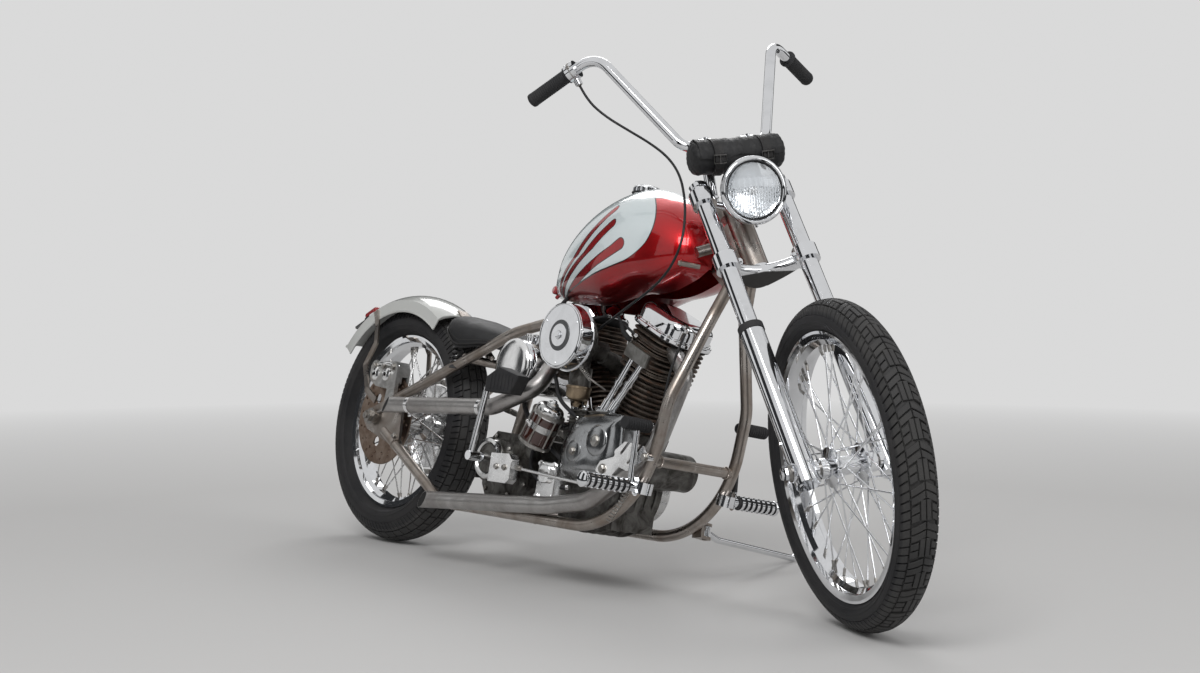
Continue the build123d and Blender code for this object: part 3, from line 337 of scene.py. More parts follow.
def bare_metal(name, color, dark, rough, scale=30.0, bump=0.0002):
    s = Shader(name, metallic=1.0)
    cloud = s.clouds(scale, 6.0, 0.6, 0.36, 0.66, distortion=0.6)
    fine = s.noise(scale * 14, 3.0, 0.7)
    speck = s.clouds(scale * 30, 2.0, 0.5, 0.62, 0.74)
    return s.give(
        base_color=s.mix(speck * 0.5, s.mix(cloud, color, dark), toned(dark, 0.35)),
        roughness=cloud * 0.16 + fine * 0.14 + (rough - 0.12),
        normal=s.bump(fine + cloud * 0.6, bump, 0.6),
    )


def rubber(name, color=(0.022, 0.022, 0.024), dust=(0.11, 0.105, 0.10), rough=0.72, bump=0.0003):
    s = Shader(name, specular_ior_level=0.35)
    scuff = s.clouds(9.0, 7.0, 0.66, 0.45, 0.78)
    fine = s.noise(900.0, 3.0, 0.7)
    return s.give(
        base_color=s.mix(scuff * 0.35, color, dust),
        roughness=rough + scuff * 0.15 - fine * 0.08,
        normal=s.bump(fine + s.noise(160.0, 4.0), bump, 0.5),
    )


def leather(name, color):
    s = Shader(name, specular_ior_level=0.45)
    grain = s.ramp(s.cells(520.0, "DISTANCE_TO_EDGE"), (0.0, 0.0), (0.25, 1.0))
    broad = s.noise(14.0, 6.0, 0.6)
    worn = s.ramp(broad, (0.48, 0.0), (0.74, 1.0))
    return s.give(
        base_color=s.mix(worn * 0.4, color, toned(color, 2.6)),
        roughness=0.48 - worn * 0.16 + s.noise(300.0) * 0.1,
        normal=s.bump(grain * 0.7 + broad * 0.5, 0.0005, 0.55),
    )


def paint(name, color, rough):
    s = Shader(name, coat_weight=1.0, coat_roughness=0.04)
    dust = s.clouds(12.0, 6.0, 0.6, 0.5, 0.8)
    return s.give(
        base_color=s.mix(dust * 0.25, color, toned(color, 0.75)),
        roughness=rough + dust * 0.12,
        normal=s.bump(s.noise(140.0, 2.0), 0.00005, 0.3),
    )


def tyre_rubber(name, wheel, worn_r):
    """Black side walls, and a greyer tread outside the radius worn_r."""
    s = Shader(name, specular_ior_level=0.3)
    x, y, z = s.span(wheel)
    worn = 1.0 - (x * x + z * z).root().below(worn_r, 0.004)
    scuff = s.clouds(7.0, 7.0, 0.66, 0.42, 0.8)
    fine = s.noise(700.0, 3.0, 0.7)
    base = s.mix(worn * (scuff * 0.5 + 0.5), (0.018, 0.018, 0.020), (0.055, 0.054, 0.053))
    return s.give(
        base_color=s.mix(scuff * 0.22, base, (0.16, 0.15, 0.14)),
        roughness=0.62 + scuff * 0.2 - fine * 0.06,
        normal=s.bump(fine, 0.0003, 0.4),
    )


def glass(name):
    s = Shader(name, base_color=(0.96, 0.98, 1.0), roughness=0.03, ior=1.45, transmission_weight=1.0)
    return s.material


# The tank's paint: candy red, a pale panel with three red fingers, dark pinstripes round them
PANEL_LINE = 0.00165
FINGER_LINE = 0.00126
PAINT_EDGE = 0.0010
LINE_EDGE = 0.0008
# the panel's lower edge rises forward in a straight line, and its front edge is a shallow curve
PANEL_TAIL = (0.743, 0.689)
PANEL_RISE = 0.27
PANEL_FRONT = (1.066, 0.832)
PANEL_BEND = 8.3
PANEL_CORNER = 0.034
# a strip of the panel runs on along the tank's top to its front
STRIP_HALF = 0.082
STRIP_FROM = 1.010
STRIP_TAPER = 0.52
STRIP_LOW = 0.83
FLAKES = 900.0
FINGERS = [
    # x, z and half width at the tail, then at the tip
    (0.686, 0.692, 0.005, 0.906, 0.888, 0.0085),
    (0.688, 0.678, 0.005, 0.925, 0.848, 0.0105),
    (0.692, 0.662, 0.005, 0.969, 0.796, 0.0145),
]


def tank_paint(name):
    s = Shader(name, coat_weight=1.0, coat_roughness=0.03, coat_ior=1.5)
    x, y, z = s.span(BIKE)
    wobble = (s.noise(9.0, 2.0) - 0.5) * 0.003

    def finger(x0, z0, r0, x1, z1, r1):
        """Distance outside a tapered finger drawn between two circles, seen from the side."""
        length = math.hypot(x1 - x0, z1 - z0)
        ux, uz = (x1 - x0) / length, (z1 - z0) / length
        dx, dz = x - x0, z - z0
        along = s.node("Math", {"operation": "DIVIDE", "use_clamp": True}, {0: dx * ux + dz * uz, 1: length})
        px, pz = dx - along * (length * ux), dz - along * (length * uz)
        return (px * px + pz * pz).root() - (along * (r1 - r0) + r0) + wobble

    first, second, third = (finger(*row) for row in FINGERS)
    near = first.least(second).least(third)
    bend = z - PANEL_FRONT[1]
    ahead_of = x - PANEL_FRONT[0] + bend * bend * PANEL_BEND + PANEL_CORNER
    under = (x - PANEL_TAIL[0]) * PANEL_RISE + PANEL_TAIL[1] - z + PANEL_CORNER
    out_x, out_z = ahead_of.most(0.0), under.most(0.0)
    inside = ahead_of.most(under).least(0.0)
    side_panel = inside + (out_x * out_x + out_z * out_z).root() - PANEL_CORNER
    top_strip = (abs(y) - STRIP_HALF + (x - STRIP_FROM) * STRIP_TAPER).most(STRIP_LOW - z)
    outside = side_panel.least(top_strip) + wobble
    panel = outside.below(0.0, PAINT_EDGE)
    pale = panel * (1.0 - near.below(0.0, PAINT_EDGE))
    finger_line = abs(near).below(FINGER_LINE, LINE_EDGE)
    lines = (abs(outside).below(PANEL_LINE, LINE_EDGE) + finger_line * panel).least(1.0)
    glitter = s.ramp(s.cells(FLAKES), (0.0, 1.0), (0.30, 0.0))
    # painted shade: the red darkens towards the tank's bottom with height, over a random mottle of noise
    low_shade_and_mottle = s.ramp(s.noise(6.0, 3.0, 0.5) * 0.5 + (z - 0.66) * 3.2, (0.20, 0.0), (0.62, 1.0))
    red = s.mix(low_shade_and_mottle, (0.12, 0.001, 0.003), (0.50, 0.006, 0.010))
    red = s.mix(glitter * 0.45, red, (0.95, 0.12, 0.10))
    white = s.mix(s.noise(5.0, 3.0), (0.60, 0.68, 0.70), (0.76, 0.82, 0.83))
    tilt = s.node("SeparateColor", None, {0: s.cells(FLAKES, out=1)})
    return s.give(
        base_color=s.mix(lines, s.mix(pale, red, white), (0.012, 0.004, 0.006)),
        metallic=(1.0 - pale) * (1.0 - lines) * 0.9,
        roughness=0.32 - pale * 0.06,
        normal=s.bump(tilt * (1.0 - pale), 0.00012, 0.5),
    )


MATERIALS = {
    "chrome": chrome("bright_chrome", CHROME, 0.035, 0.05, 0.12),
    "worn_chrome": chrome("worn_chrome", (0.74, 0.74, 0.74), 0.10, 0.22, 0.4),
    "mirror": chrome("lamp_mirror", (0.86, 0.87, 0.88), 0.03, 0.04, 0.05),
    "plate": chrome("bright_plate", (0.90, 0.90, 0.90), 0.16, 0.10, 0.12),
    # the lower clamp's near-black colour behind its front bar is painted shade
    "clamp_chrome": part_chrome("clamp_chrome", clamp_front, (0.018, 0.016, 0.015), 0.5, 0.05),
    "black_control": part_chrome("black_foot_control", under_the_arm, (0.020, 0.020, 0.022), 0.40, 0.06),
    "polished": bare_metal("polished_alloy", (0.70, 0.70, 0.70), (0.56, 0.55, 0.54), 0.24, 9.0, 0.00006),
    "cover_metal": bare_metal("polished_cover", (0.40, 0.41, 0.42), (0.31, 0.315, 0.32), 0.20, 5.0, 0.00003),
    "brushed": bare_metal("brushed_disc", (0.20, 0.205, 0.21), (0.17, 0.175, 0.18), 0.46, 20.0, 0.00005),
    "raw_tube": bare_metal("bare_steel_tube", (0.46, 0.425, 0.395), (0.31, 0.262, 0.226), 0.30, 13.0, 0.0001),
    "pipe": bare_metal("satin_pipe", (0.50, 0.49, 0.48), (0.36, 0.34, 0.33), 0.36, 12.0, 0.00008),
    "steel": bare_metal("oiled_steel", (0.50, 0.49, 0.47), (0.28, 0.26, 0.24), 0.34, 40.0),
    "brown_disc": bare_metal("heat_brown_disc", (0.40, 0.31, 0.25), (0.22, 0.15, 0.11), 0.38, 24.0),
    "brass": bare_metal("worn_brass", (0.46, 0.36, 0.25), (0.26, 0.20, 0.14), 0.34),
    "gunmetal": bare_metal("dark_buckle_metal", (0.16, 0.155, 0.15), (0.08, 0.078, 0.075), 0.30, 60.0),
    "alloy": cast_metal("oily_cast_alloy", (0.20, 0.195, 0.185), (0.055, 0.050, 0.045), 0.42),
    "silver_cast": cast_metal("silver_cast", (0.60, 0.60, 0.59), (0.38, 0.375, 0.365), 0.36),
    "iron": barrel_iron("rusty_iron"),
    "tank": tank_paint("candy_red_scallops"),
    "tank_red": paint("red_knob", (0.34, 0.006, 0.010), 0.22),
    "black": paint("satin_black", (0.02, 0.02, 0.022), 0.42),
    "silver": paint("pale_silver", (0.56, 0.57, 0.55), 0.32),
    "amber": paint("amber_bowl", (0.040, 0.011, 0.007), 0.08),
    "red_lens": paint("dark_red_lens", (0.30, 0.006, 0.008), 0.12),
    "leather": leather("black_leather", (0.009, 0.009, 0.010)),
    "leather_edge": leather("strap_leather", (0.012, 0.011, 0.011)),
    "front_tyre": tyre_rubber("front_tyre_rubber", FRONT_WHEEL, 0.322),
    "rear_tyre": tyre_rubber("rear_tyre_rubber", REAR_WHEEL, 0.305),
    "rubber": rubber("black_rubber"),
    "thread": rubber("seat_thread", (0.06, 0.058, 0.055), (0.12, 0.12, 0.11), 0.8),
    "soot": rubber("sooty_bore", (0.008, 0.008, 0.008), (0.025, 0.023, 0.022), 0.9),
    "sheath": rubber("cable_sheath", (0.012, 0.012, 0.013), (0.04, 0.04, 0.04), 0.45, 0.0001),
    "glass": glass("lamp_glass"),
}

NODE_MATERIALS = {
    "chrome": "front_rim rear_rim front_hub fork_tubes fork_sliders upper_clamp handlebar headlamp fuel_cap "
              "rocker_covers pushrod_tubes air_cleaner oil_tank right_foot_control side_stand kick_starter",
    "clamp_chrome": "lower_clamp",
    "plate": "side_shield brake_linkage",
    "black_control": "left_foot_control",
    "worn_chrome": "rear_hub side_canister",
    "cover_metal": "timing_cover",
    "polished": "primary_cover",
    "alloy": "crankcase carburettor gearbox",
    "silver_cast": "brake_caliper",
    "raw_tube": "steering_head backbone down_tubes lower_rails upper_stays axle_plates cross_members "
                "fender_struts stand_bracket",
    "steel": "front_axle rear_axle chain",
    "brown_disc": "brake_disc",
    "pipe": "upper_exhaust lower_exhaust",
    "iron": "cylinders",
    "black": "plate_holder",
    "silver": "rear_fender",
    "tank": "fuel_tank",
    "leather": "seat tool_bag",
    "rubber": "front_tyre rear_tyre fork_seals hand_grips",
    "sheath": "throttle_cable",
    "red_lens": "tail_lamp",
    "glass": "headlamp_lens",
}
for material, names in NODE_MATERIALS.items():
    for name in names.split():
        for slot in frame["nodes"][name].material_slots:
            slot.material = MATERIALS[material]


# Making meshes. Pieces are drawn in millimetres, upright, on the axes of the body that they ride on
MM = Matrix.Scale(0.001, 4)
ON_BODY = {
    "frame": BIKE @ MM,
    "fork": FORK @ MM,
    "front_wheel": FRONT_WHEEL @ MM,
    "rear_wheel": REAR_WHEEL @ MM,
}
WELD = 0.00001
RIGHT = (0, -1, 0)
LEFT = (0, 1, 0)
UP = (0, 0, 1)
FORWARD = (1, 0, 0)
# the bike's right side as a drawing board: x forward, y up, z out of it
RIGHT_SIDE = axes_matrix(FORWARD, UP, RIGHT)


def facing(origin, line):
    """A place at the origin with its Z axis along the line."""
    turn = Vector(line).normalized().to_track_quat("Z", "Y")
    return Matrix.Translation(Vector(origin)) @ turn.to_matrix().to_4x4()


def circle(radius, count, start=0.0):
    steps = [2 * math.pi * n / count + start for n in range(count)]
    return [(radius * math.cos(a), radius * math.sin(a)) for a in steps]


def ring(radius, height, count):
    return [(x, y, height) for x, y in circle(radius, count)]


class Shape:
    """Points and faces gathered from many small forms into one mesh."""

    def __init__(self):
        self.points = []
        self.faces = []

    def add(self, points, faces, place=Matrix()):
        first = len(self.points)
        self.points += [place @ Vector(p) for p in points]
        self.faces += [tuple(first + i for i in face) for face in faces]
        return self

    def skin(self, rings, place=Matrix(), looped=False):
        """A closed skin over rings of points, or a closed loop of them."""
        count = len(rings[0])
        faces = []
        for r in range(len(rings) if looped else len(rings) - 1):
            s = (r + 1) % len(rings)
            for k in range(count):
                j = (k + 1) % count
                faces.append((r * count + k, r * count + j, s * count + j, s * count + k))
        if not looped:
            faces.append(tuple(reversed(range(count))))
            faces.append(tuple((len(rings) - 1) * count + k for k in range(count)))
        return self.add([p for ring in rings for p in ring], faces, place)

    def turned(self, outline, place, around):
        """A closed outline of (radius, height) turned about the Z axis."""
        rings = [[(r * x, r * y, h) for r, h in outline] for x, y in circle(1.0, around)]
        return self.skin(rings, place, looped=True)

    def drum(self, origin, line, radius, length, around, edge=0.0):
        """A round bar from the origin along the line, its ends chamfered by edge."""
        rows = [(radius, edge), (radius, length - edge)]
        if edge:
            rows = [(radius - edge, 0.0), *rows, (radius - edge, length)]
        return self.skin([ring(r, h, around) for r, h in rows], facing(origin, line))

    def bolt(self, origin, line, size, height, washer=True):
        """A hexagon head on a washer."""
        place = facing(origin, line)
        base = 1.2 if washer else 0.0
        if washer:
            self.skin([ring(size * 1.35, h, 14) for h in (-0.5, base)], place)
        rows = [(size, base), (size, base + height - 1), (size * 0.86, base + height)]
        return self.skin([ring(r, h, 6) for r, h in rows], place)

    def tube(self, line, radius, around):
        """A round bar along a line of points. Radius may be a function of the share travelled."""
        line = [Vector(p) for p in line]
        rings = []
        side = None
        for n, here in enumerate(line):
            run = (line[min(n + 1, len(line) - 1)] - line[max(n - 1, 0)]).normalized()
            if side is None:
                side = run.orthogonal().normalized()
            side = (side - run * side.dot(run)).normalized()
            other = run.cross(side)
            r = radius(n / (len(line) - 1)) if callable(radius) else radius
            rings.append([here + side * x + other * y for x, y in circle(r, around)])
        return self.skin(rings)

    def spring(self, start, end, radius, wire, turns):
        """A coil of wire from start to end."""
        line = Vector(end) - Vector(start)
        place = facing(start, line)
        count = 12 * turns + 1
        climb = line.length / (count - 1)
        coil = circle(radius, 12) * turns + circle(radius, 12)[:1]
        return self.tube([place @ Vector((x, y, climb * n)) for n, (x, y) in enumerate(coil)], wire, 6)

    def block(self, low, high, place=Matrix()):
        """A box between two corners."""
        (x0, y0, z0), (x1, y1, z1) = low, high
        rings = [[(x0, y0, z), (x1, y0, z), (x1, y1, z), (x0, y1, z)] for z in (z0, z1)]
        return self.skin(rings, place)

    def slab(self, outline, rows, place=Matrix()):
        """A stack of one outline: rows of (height, how far in)."""
        middle = sum((Vector(p) for p in outline), Vector((0, 0))) / len(outline)
        rings = []
        for height, inset in rows:
            arms = [Vector(p) - middle for p in outline]
            ends = [middle + arm * (1 - inset / max(arm.length, 1.0)) for arm in arms]
            rings.append([(*end, height) for end in ends])
        return self.skin(rings, place)

    def shell(self, place, rows, columns, thickness):
        """A sheet of some thickness. place(u, v, out) gives its points for u and v from 0 to 1."""
        points = []
        for out in (0.0, thickness):
            for i in range(rows + 1):
                points += [place(i / rows, j / columns, out) for j in range(columns + 1)]
        width = columns + 1
        back = (rows + 1) * width
        faces = []
        for i in range(rows):
            for a in range(i * width, i * width + columns):
                faces.append((a, a + 1, a + width + 1, a + width))
                faces.append((back + a, back + a + width, back + a + width + 1, back + a + 1))
        edge = list(range(width)) + [i * width + columns for i in range(1, rows + 1)]
        edge += [rows * width + j for j in reversed(range(columns))]
        edge += [i * width for i in reversed(range(1, rows))]
        for a, b in zip(edge, edge[1:] + edge[:1]):
            faces.append((a, b, back + b, back + a))
        return self.add(points, faces)

    def build(self, name, material, matrix, bevel=0.0):
        """The gathered mesh as one object, welded, smooth but for its sharp edges."""
        work = bmesh.new()
        verts = [work.verts.new(matrix @ p) for p in self.points]
        for face in self.faces:
            work.faces.new([verts[i] for i in face])
        bmesh.ops.remove_doubles(work, verts=work.verts, dist=WELD)
        bmesh.ops.recalc_face_normals(work, faces=work.faces)
        mesh = bpy.data.meshes.new(name)
        work.to_mesh(mesh)
        work.free()
        mesh.materials.append(MATERIALS[material])
        mesh.polygons.foreach_set("use_smooth", [True] * len(mesh.polygons))
        mesh.set_sharp_from_angle(angle=math.radians(38))
        piece = linked(name, mesh)
        if bevel:
            rounded = piece.modifiers.new("edges", "BEVEL")
            rounded.width = bevel / 1000
            rounded.segments = 2
            rounded.limit_method = "ANGLE"
            rounded.angle_limit = math.radians(35)
        return piece

    def make(self, name, material, slot, body="frame", bevel=0.0, stands_for=None):
        piece = self.build(name, material, ON_BODY[body], bevel)
        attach(piece, body)
        if stands_for:
            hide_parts(stands_for)
        return piece


def smooth_line(points):
    """Points along a smooth NURBS curve whose control points these are."""
    data = bpy.data.curves.new("guide", "CURVE")
    data.dimensions = "3D"
    spline = data.splines.new("NURBS")
    spline.points.add(len(points) - 1)
    for knot, p in zip(spline.points, points):
        knot.co = (*p, 1.0)
    spline.order_u = 3
    spline.use_endpoint_u = True
    spline.resolution_u = 12
    guide = bpy.data.objects.new("guide", data)
    mesh = bpy.data.meshes.new_from_object(guide)
    line = [v.co.copy() for v in mesh.vertices]
    bpy.data.meshes.remove(mesh)
    bpy.data.objects.remove(guide)
    bpy.data.curves.remove(data)
    return line


# Tyres: a carcass with a tread of separate rubber blocks, both drawn on one rounded section
TREAD_DEPTH = 4.5
SHOULDER_ANGLE = 74.0
BLOCK_CHAMFER = 0.9
TYRE_STEPS = 168


class Tyre(Shape):
    """The section is two half ellipses about mid_r: rise out to the crown, low down to the bead."""

    def __init__(self, tyre_r, half, mid_r, low, bead_angle, flange_r, rim_half):
        super().__init__()
        self.tyre_r, self.half, self.mid_r, self.low = tyre_r, half, mid_r, low
        self.bead_angle, self.flange_r, self.rim_half = bead_angle, flange_r, rim_half

    def section(self, angle, out=0.0):
        """Radius and side of a place on the section, its angle from the crown in degrees."""
        a = math.radians(angle)
        rise = self.tyre_r - self.mid_r if math.cos(a) > 0 else self.low
        return self.mid_r + (rise + out) * math.cos(a), (self.half + out) * math.sin(a)

    def carcass(self):
        edge = SHOULDER_ANGLE
        # angle from the crown, and height over the plain section
        side = [(angle, -TREAD_DEPTH) for angle in (0, 18, 36, 54, edge - 4)]
        side += [(edge, -0.6), (edge + 2, 0.0), (86, 0.0), (93, 0.0), (94, 0.9), (97, 0.9), (98, 0.0)]
        side += [(106, 0.0), (112, 0.0), (113, 0.8), (119, 0.8), (120, 0.0), (self.bead_angle, 0.0)]
        rows = [self.section(-a, h) for a, h in reversed(side)] + [self.section(a, h) for a, h in side[1:]]
        lip = self.flange_r + 1
        seat = self.flange_r - 14.0
        heel = self.rim_half - 3.5
        rows += [(lip, heel), (seat, heel), (self.tyre_r - 16, 0.0), (seat, -heel), (lip, -heel)]
        self.skin([[(r * x, y, r * z) for r, y in rows] for x, z in circle(1.0, TYRE_STEPS)], looped=True)

    def lug(self, start, length, inner, outer, lean, side):
        """One rubber block: start and length in radians round the tyre, its edges in degrees across it."""
        across = max(1, round((outer - inner) / 11))
        inset_u = BLOCK_CHAMFER / (length * self.tyre_r)
        inset_v = BLOCK_CHAMFER / (math.radians(outer - inner) * self.half)
        points = []
        for out, u_gap, v_gap in ((-TREAD_DEPTH - 0.4, 0, 0), (-1.0, 0, 0), (0.0, inset_u, inset_v)):
            for j in range(across + 1):
                angle = inner + (outer - inner) * (v_gap + (1 - 2 * v_gap) * j / across)
                r, y = self.section(side * angle, out)
                for u in (u_gap, 1 - u_gap):
                    turn = start + length * u - lean * angle
                    points.append((r * math.cos(turn), y, r * math.sin(turn)))
        count = 2 * (across + 1)
        rim = list(range(0, count, 2)) + list(range(count - 1, 0, -2))
        faces = []
        for low in (0, count):
            for a, b in zip(rim, rim[1:] + rim[:1]):
                faces.append((low + a, low + b, low + count + b, low + count + a))
        for a in range(0, 2 * across, 2):
            cell = (a, a + 1, a + 3, a + 2)
            faces += [cell, tuple(2 * count + i for i in cell)]
        self.add(points, faces)

    def tread(self, units, rows):
        unit = 2 * math.pi / units
        for n in range(units):
            for start, length, inner, outer, lean in rows:
                for side in (1, -1):
                    self.lug((n + start) * unit, length * unit, inner, outer, lean * unit, side)


def shoulder_lugs(inner, lean):
    return [(start, 0.21, inner, SHOULDER_ANGLE - 1, lean) for start in (0.00, 0.25, 0.50, 0.75)]


FRONT_LEAN = 0.0050
REAR_LEAN = 0.0040
front_tread = [
    # start and length as shares of one unit, inner and outer edge in degrees from the crown, lean
    (0.00, 0.52, 1.4, 15.0, 0.0),
    (0.57, 0.18, 1.4, 39.0, FRONT_LEAN),
    (0.79, 0.18, 1.4, 39.0, FRONT_LEAN),
    (0.10, 0.185, 18.5, 39.0, FRONT_LEAN),
    (0.325, 0.185, 18.5, 39.0, FRONT_LEAN),
    *shoulder_lugs(42.5, FRONT_LEAN),
]
rear_tread = [
    (0.00, 0.95, 0.0, 7.0, 0.0),
    (0.00, 0.45, 10.0, 26.0, REAR_LEAN),
    (0.50, 0.45, 10.0, 26.0, REAR_LEAN),
    (0.20, 0.45, 29.0, 46.0, REAR_LEAN),
    (0.70, 0.45, 29.0, 46.0, REAR_LEAN),
    *shoulder_lugs(49.0, REAR_LEAN),
]
for end, tyre, units, rows in (
    ("front", Tyre(345.0, 42.4, 303.0, 28.0, 135.0, 281.0, 32.0), 28, front_tread),
    ("rear", Tyre(332.0, 60.0, 271.5, 31.0, 145.0, 243.0, 35.0), 30, rear_tread),
):
    tyre.carcass()
    tyre.tread(units, rows)
    tyre.make(end + "_tyre_treaded", end + "_tyre", "tyre_black", end + "_wheel", stands_for=end + "_tyre")

# Spoke nipples, seated in the rim's well at each spoke's end
SPOKES = 40
NIPPLE_LENGTH = 15.0
nipple_rows = [
    # wheel, hub radius and side, well radius and side, crossing in degrees
    ("front", 37, 34, 250.3, 3, 50),
    ("rear", 49, 42, 212.3, 4, 44),
]
for end, hub_r, hub_y, rim_r, rim_y, cross in nipple_rows:
    nipples = Shape()
    step = 720.0 / SPOKES
    for side in (1, -1):
        for n in range(SPOKES // 2):
            turn = 1 if n % 2 else -1
            start = math.radians(n * step + side * step / 4)
            stop = start + math.radians(cross * turn)
            foot = Vector((hub_r * math.cos(start), side * (hub_y + 2.0 * turn), hub_r * math.sin(start)))
            tip = Vector((rim_r * math.cos(stop), side * rim_y, rim_r * math.sin(stop)))
            line = (foot - tip).normalized()
            nipples.drum(tip - line, line, 3.3, NIPPLE_LENGTH, 8, 0.5)
            nipples.drum(foot - line * 3, line, 3.4, 6, 8, 1.0)
    nipples.make(end + "_spoke_nipples", "steel", "bright_steel", end + "_wheel")

# Headlamp: a shallow bowl, a fluted lens, a rounded rim and its gasket, about a line straight ahead
head_at = at_fork(0, 0, 628)
LAMP = Matrix.Translation((head_at.x + 70.3, 0, head_at.z + 116.7)) @ Matrix.Rotation(math.pi / 2, 4, "Y")
LENS_R = 65.2
lamp_parts = [
    # name, material, slot, outline of radius and height, steps round
    ("lamp_bowl", "mirror", "chrome", [
        (0, -11.9), (LENS_R - 1, -11.9), (LENS_R - 1, 0.5), (62, -2), (52, -6.5), (34, -9.6), (12, -11.0),
        (0, -11.2),
    ], 72),
    ("lamp_bulb_shield", "polished", "polished_alloy", [
        (0, -11.0), (5, -11.0), (9.5, -5.0), (8.5, -3.2), (0, -2.2),
    ], 32),
    ("lamp_gasket", "rubber", "black_rubber", [
        (64.0, 2.0), (65.0, 4.0), (67.4, 4.6), (68.0, 3.0), (66.5, 1.2),
    ], 96),
]
for name, material, slot, outline, around in lamp_parts:
    Shape().turned(outline, LAMP, around).make(name, material, slot, "fork")
lamp_rim = Shape().turned([
    (66.5, 2.0), (68.0, 5.5), (71.0, 7.5), (74.5, 6.6), (77.4, 3.2), (78.2, -2.0), (77.6, -9.0),
    (75.6, -14.5), (74.2, -14.5), (74.2, 2.2), (70.5, 2.6),
], LAMP, 96)
for line, radius, length in ((Vector((1, 0, 0)), 3.4, 6.0), (Vector((0, 1, 0)), 2.6, 6.5)):
    lamp_rim.drum(LAMP @ (line * 77 + Vector((0, 0, -6.0))), LAMP.to_3x3() @ line, radius, length, 10, 0.8)
lamp_rim.make("lamp_rim", "chrome", "chrome", "fork")

LENS_RINGS = 34
LENS_STEPS = 120
LENS_RISE = 9.0
LENS_THICK = 2.4
FLUTE = 6.4


def lens_front(r):
    return 1.0 + LENS_RISE * (1 - (r / LENS_R) ** 2)


def lens_back(up, side):
    """Upright flutes across the lower half and a band of short ones over the middle."""
    depth = 0.0
    if up < 6.0:
        depth = 2.4 * abs(math.sin(math.pi * side / FLUTE))
    elif up < 30.0:
        depth = 1.1 * abs(math.sin(math.pi * side / (FLUTE * 2.0)))
    return lens_front(math.hypot(up, side)) - LENS_THICK - depth


lens_circles = [circle(LENS_R * k / LENS_RINGS, LENS_STEPS) for k in range(LENS_RINGS + 1)]
lens_rings = [[(x, y, lens_front(math.hypot(x, y))) for x, y in row] for row in lens_circles]
lens_rings += [[(x, y, lens_back(-x, y)) for x, y in row] for row in reversed(lens_circles)]
lens = Shape().skin(lens_rings, LAMP)
lens.make("lamp_lens_fluted", "glass", "lamp_glass", "fork", stands_for="headlamp_lens")

# Tool roll: a sagging leather bag, its flap, two straps with buckles and two toggles behind
BAG_HALF = 112.0
BAG_R = 39.0
BAG_SAG = 3.5
BAG_AT = Vector((head_at.x - 17.6, 0, head_at.z + 203.3))
BAG_STATIONS = 48
BAG_STEPS = 72
STRAP_SIDES = (-56.0, 60.0)
STRAP_HALF = 10.5


def bag_radius(y, angle):
    """The bag pulls in at its ends and under its straps, and is creased all over."""
    end = min(1.0, abs(y) / BAG_HALF)
    round_end = 1 - max(0.0, (end - 0.86) / 0.14) ** 2.6 * 0.42
    pinch = sum(math.exp(-((y - s) / 15.0) ** 2) for s in STRAP_SIDES)
    crease = math.sin(y * 0.17 + 2.2 * math.sin(angle * 2)) * 0.9 + math.sin(y * 0.39 + angle * 3) * 0.5
    gather = max(0.0, end - 0.6) * 2.4 * math.sin(angle * 13 + y * 0.05)
    return BAG_R * round_end - 2.2 * pinch + crease * (1 - 0.6 * pinch) + gather


def bag_point(y, angle, out=0.0):
    r = bag_radius(y, angle) + out
    squash = 0.94 if math.sin(angle) < 0 else 1.0
    sag = BAG_SAG * (1 - (y / BAG_HALF) ** 2)
    return BAG_AT + Vector((r * math.cos(angle) * 1.02, y, r * math.sin(angle) * squash - sag))


stations = [BAG_HALF * math.sin(math.pi / 2 * (2 * n / BAG_STATIONS - 1)) for n in range(BAG_STATIONS + 1)]
bag = Shape().skin([[bag_point(y, 2 * math.pi * k / BAG_STEPS) for k in range(BAG_STEPS)] for y in stations])
bag_piece = bag.make("tool_bag_leather", "leather", "black_leather", "fork", stands_for="tool_bag")

FLAP_BACK = math.radians(205)
FLAP_HALF = BAG_HALF * 0.90
FLAP_WAVE_HALF = 80


def flap_place(u, v, out):
    """The flap's front edge hangs lowest under the straps and highest midway between them."""
    y = FLAP_HALF * (2 * u - 1)
    wave = math.cos(math.pi * y / (STRAP_SIDES[1] - STRAP_SIDES[0]))
    front = math.radians(-16 + 20 * abs(wave) if abs(y) < FLAP_WAVE_HALF else -6)
    lift = 1.6 * (1 - abs(2 * v - 1) ** 6) + 0.9
    return bag_point(y, FLAP_BACK + (front - FLAP_BACK) * v, lift + out)


Shape().shell(flap_place, 60, 36, 2.4).make("tool_bag_flap", "leather", "black_leather", "fork")


def band(middle, half, start, sweep, lift):
    """A strap's sheet round the bag, from start through sweep degrees."""
    def place(u, v, out):
        return bag_point(middle + half * (2 * u - 1), math.radians(start + sweep * v), lift + out)
    return place


TOGGLE_ANGLE = math.radians(118)
straps = Shape()
buckles = Shape()
for middle in STRAP_SIDES:
    straps.shell(band(middle, STRAP_HALF, 215, -290, 4.9), 6, 52, 2.6)
    straps.shell(band(middle, STRAP_HALF + 1.5, -4, -12, 7.6), 6, 4, 1.6)
    top_left, top_right, low_right, low_left = (
        bag_point(middle + side * (STRAP_HALF + 4), math.radians(angle), 8.5)
        for side, angle in ((-1, 4), (1, 4), (1, -20), (-1, -20))
    )
    buckles.tube([top_left, top_right, low_right, low_left, top_left, top_right], 1.9, 8)
    buckles.tube([(low_left + low_right) / 2, (top_left + top_right) / 2 + Vector((2, 0, 0))], 1.5, 8)
    buckles.drum(bag_point(middle, TOGGLE_ANGLE, 9.0) - Vector((0, 9, 0)), LEFT, 4.0, 18, 12, 1.5)
    buckles.drum(bag_point(middle, TOGGLE_ANGLE, 3.0), (-0.46, 0, 0.88), 2.6, 8, 10)
straps.make("tool_bag_straps", "leather_edge", "black_leather", "fork")
buckles.make("tool_bag_buckles", "gunmetal", "bright_steel", "fork")

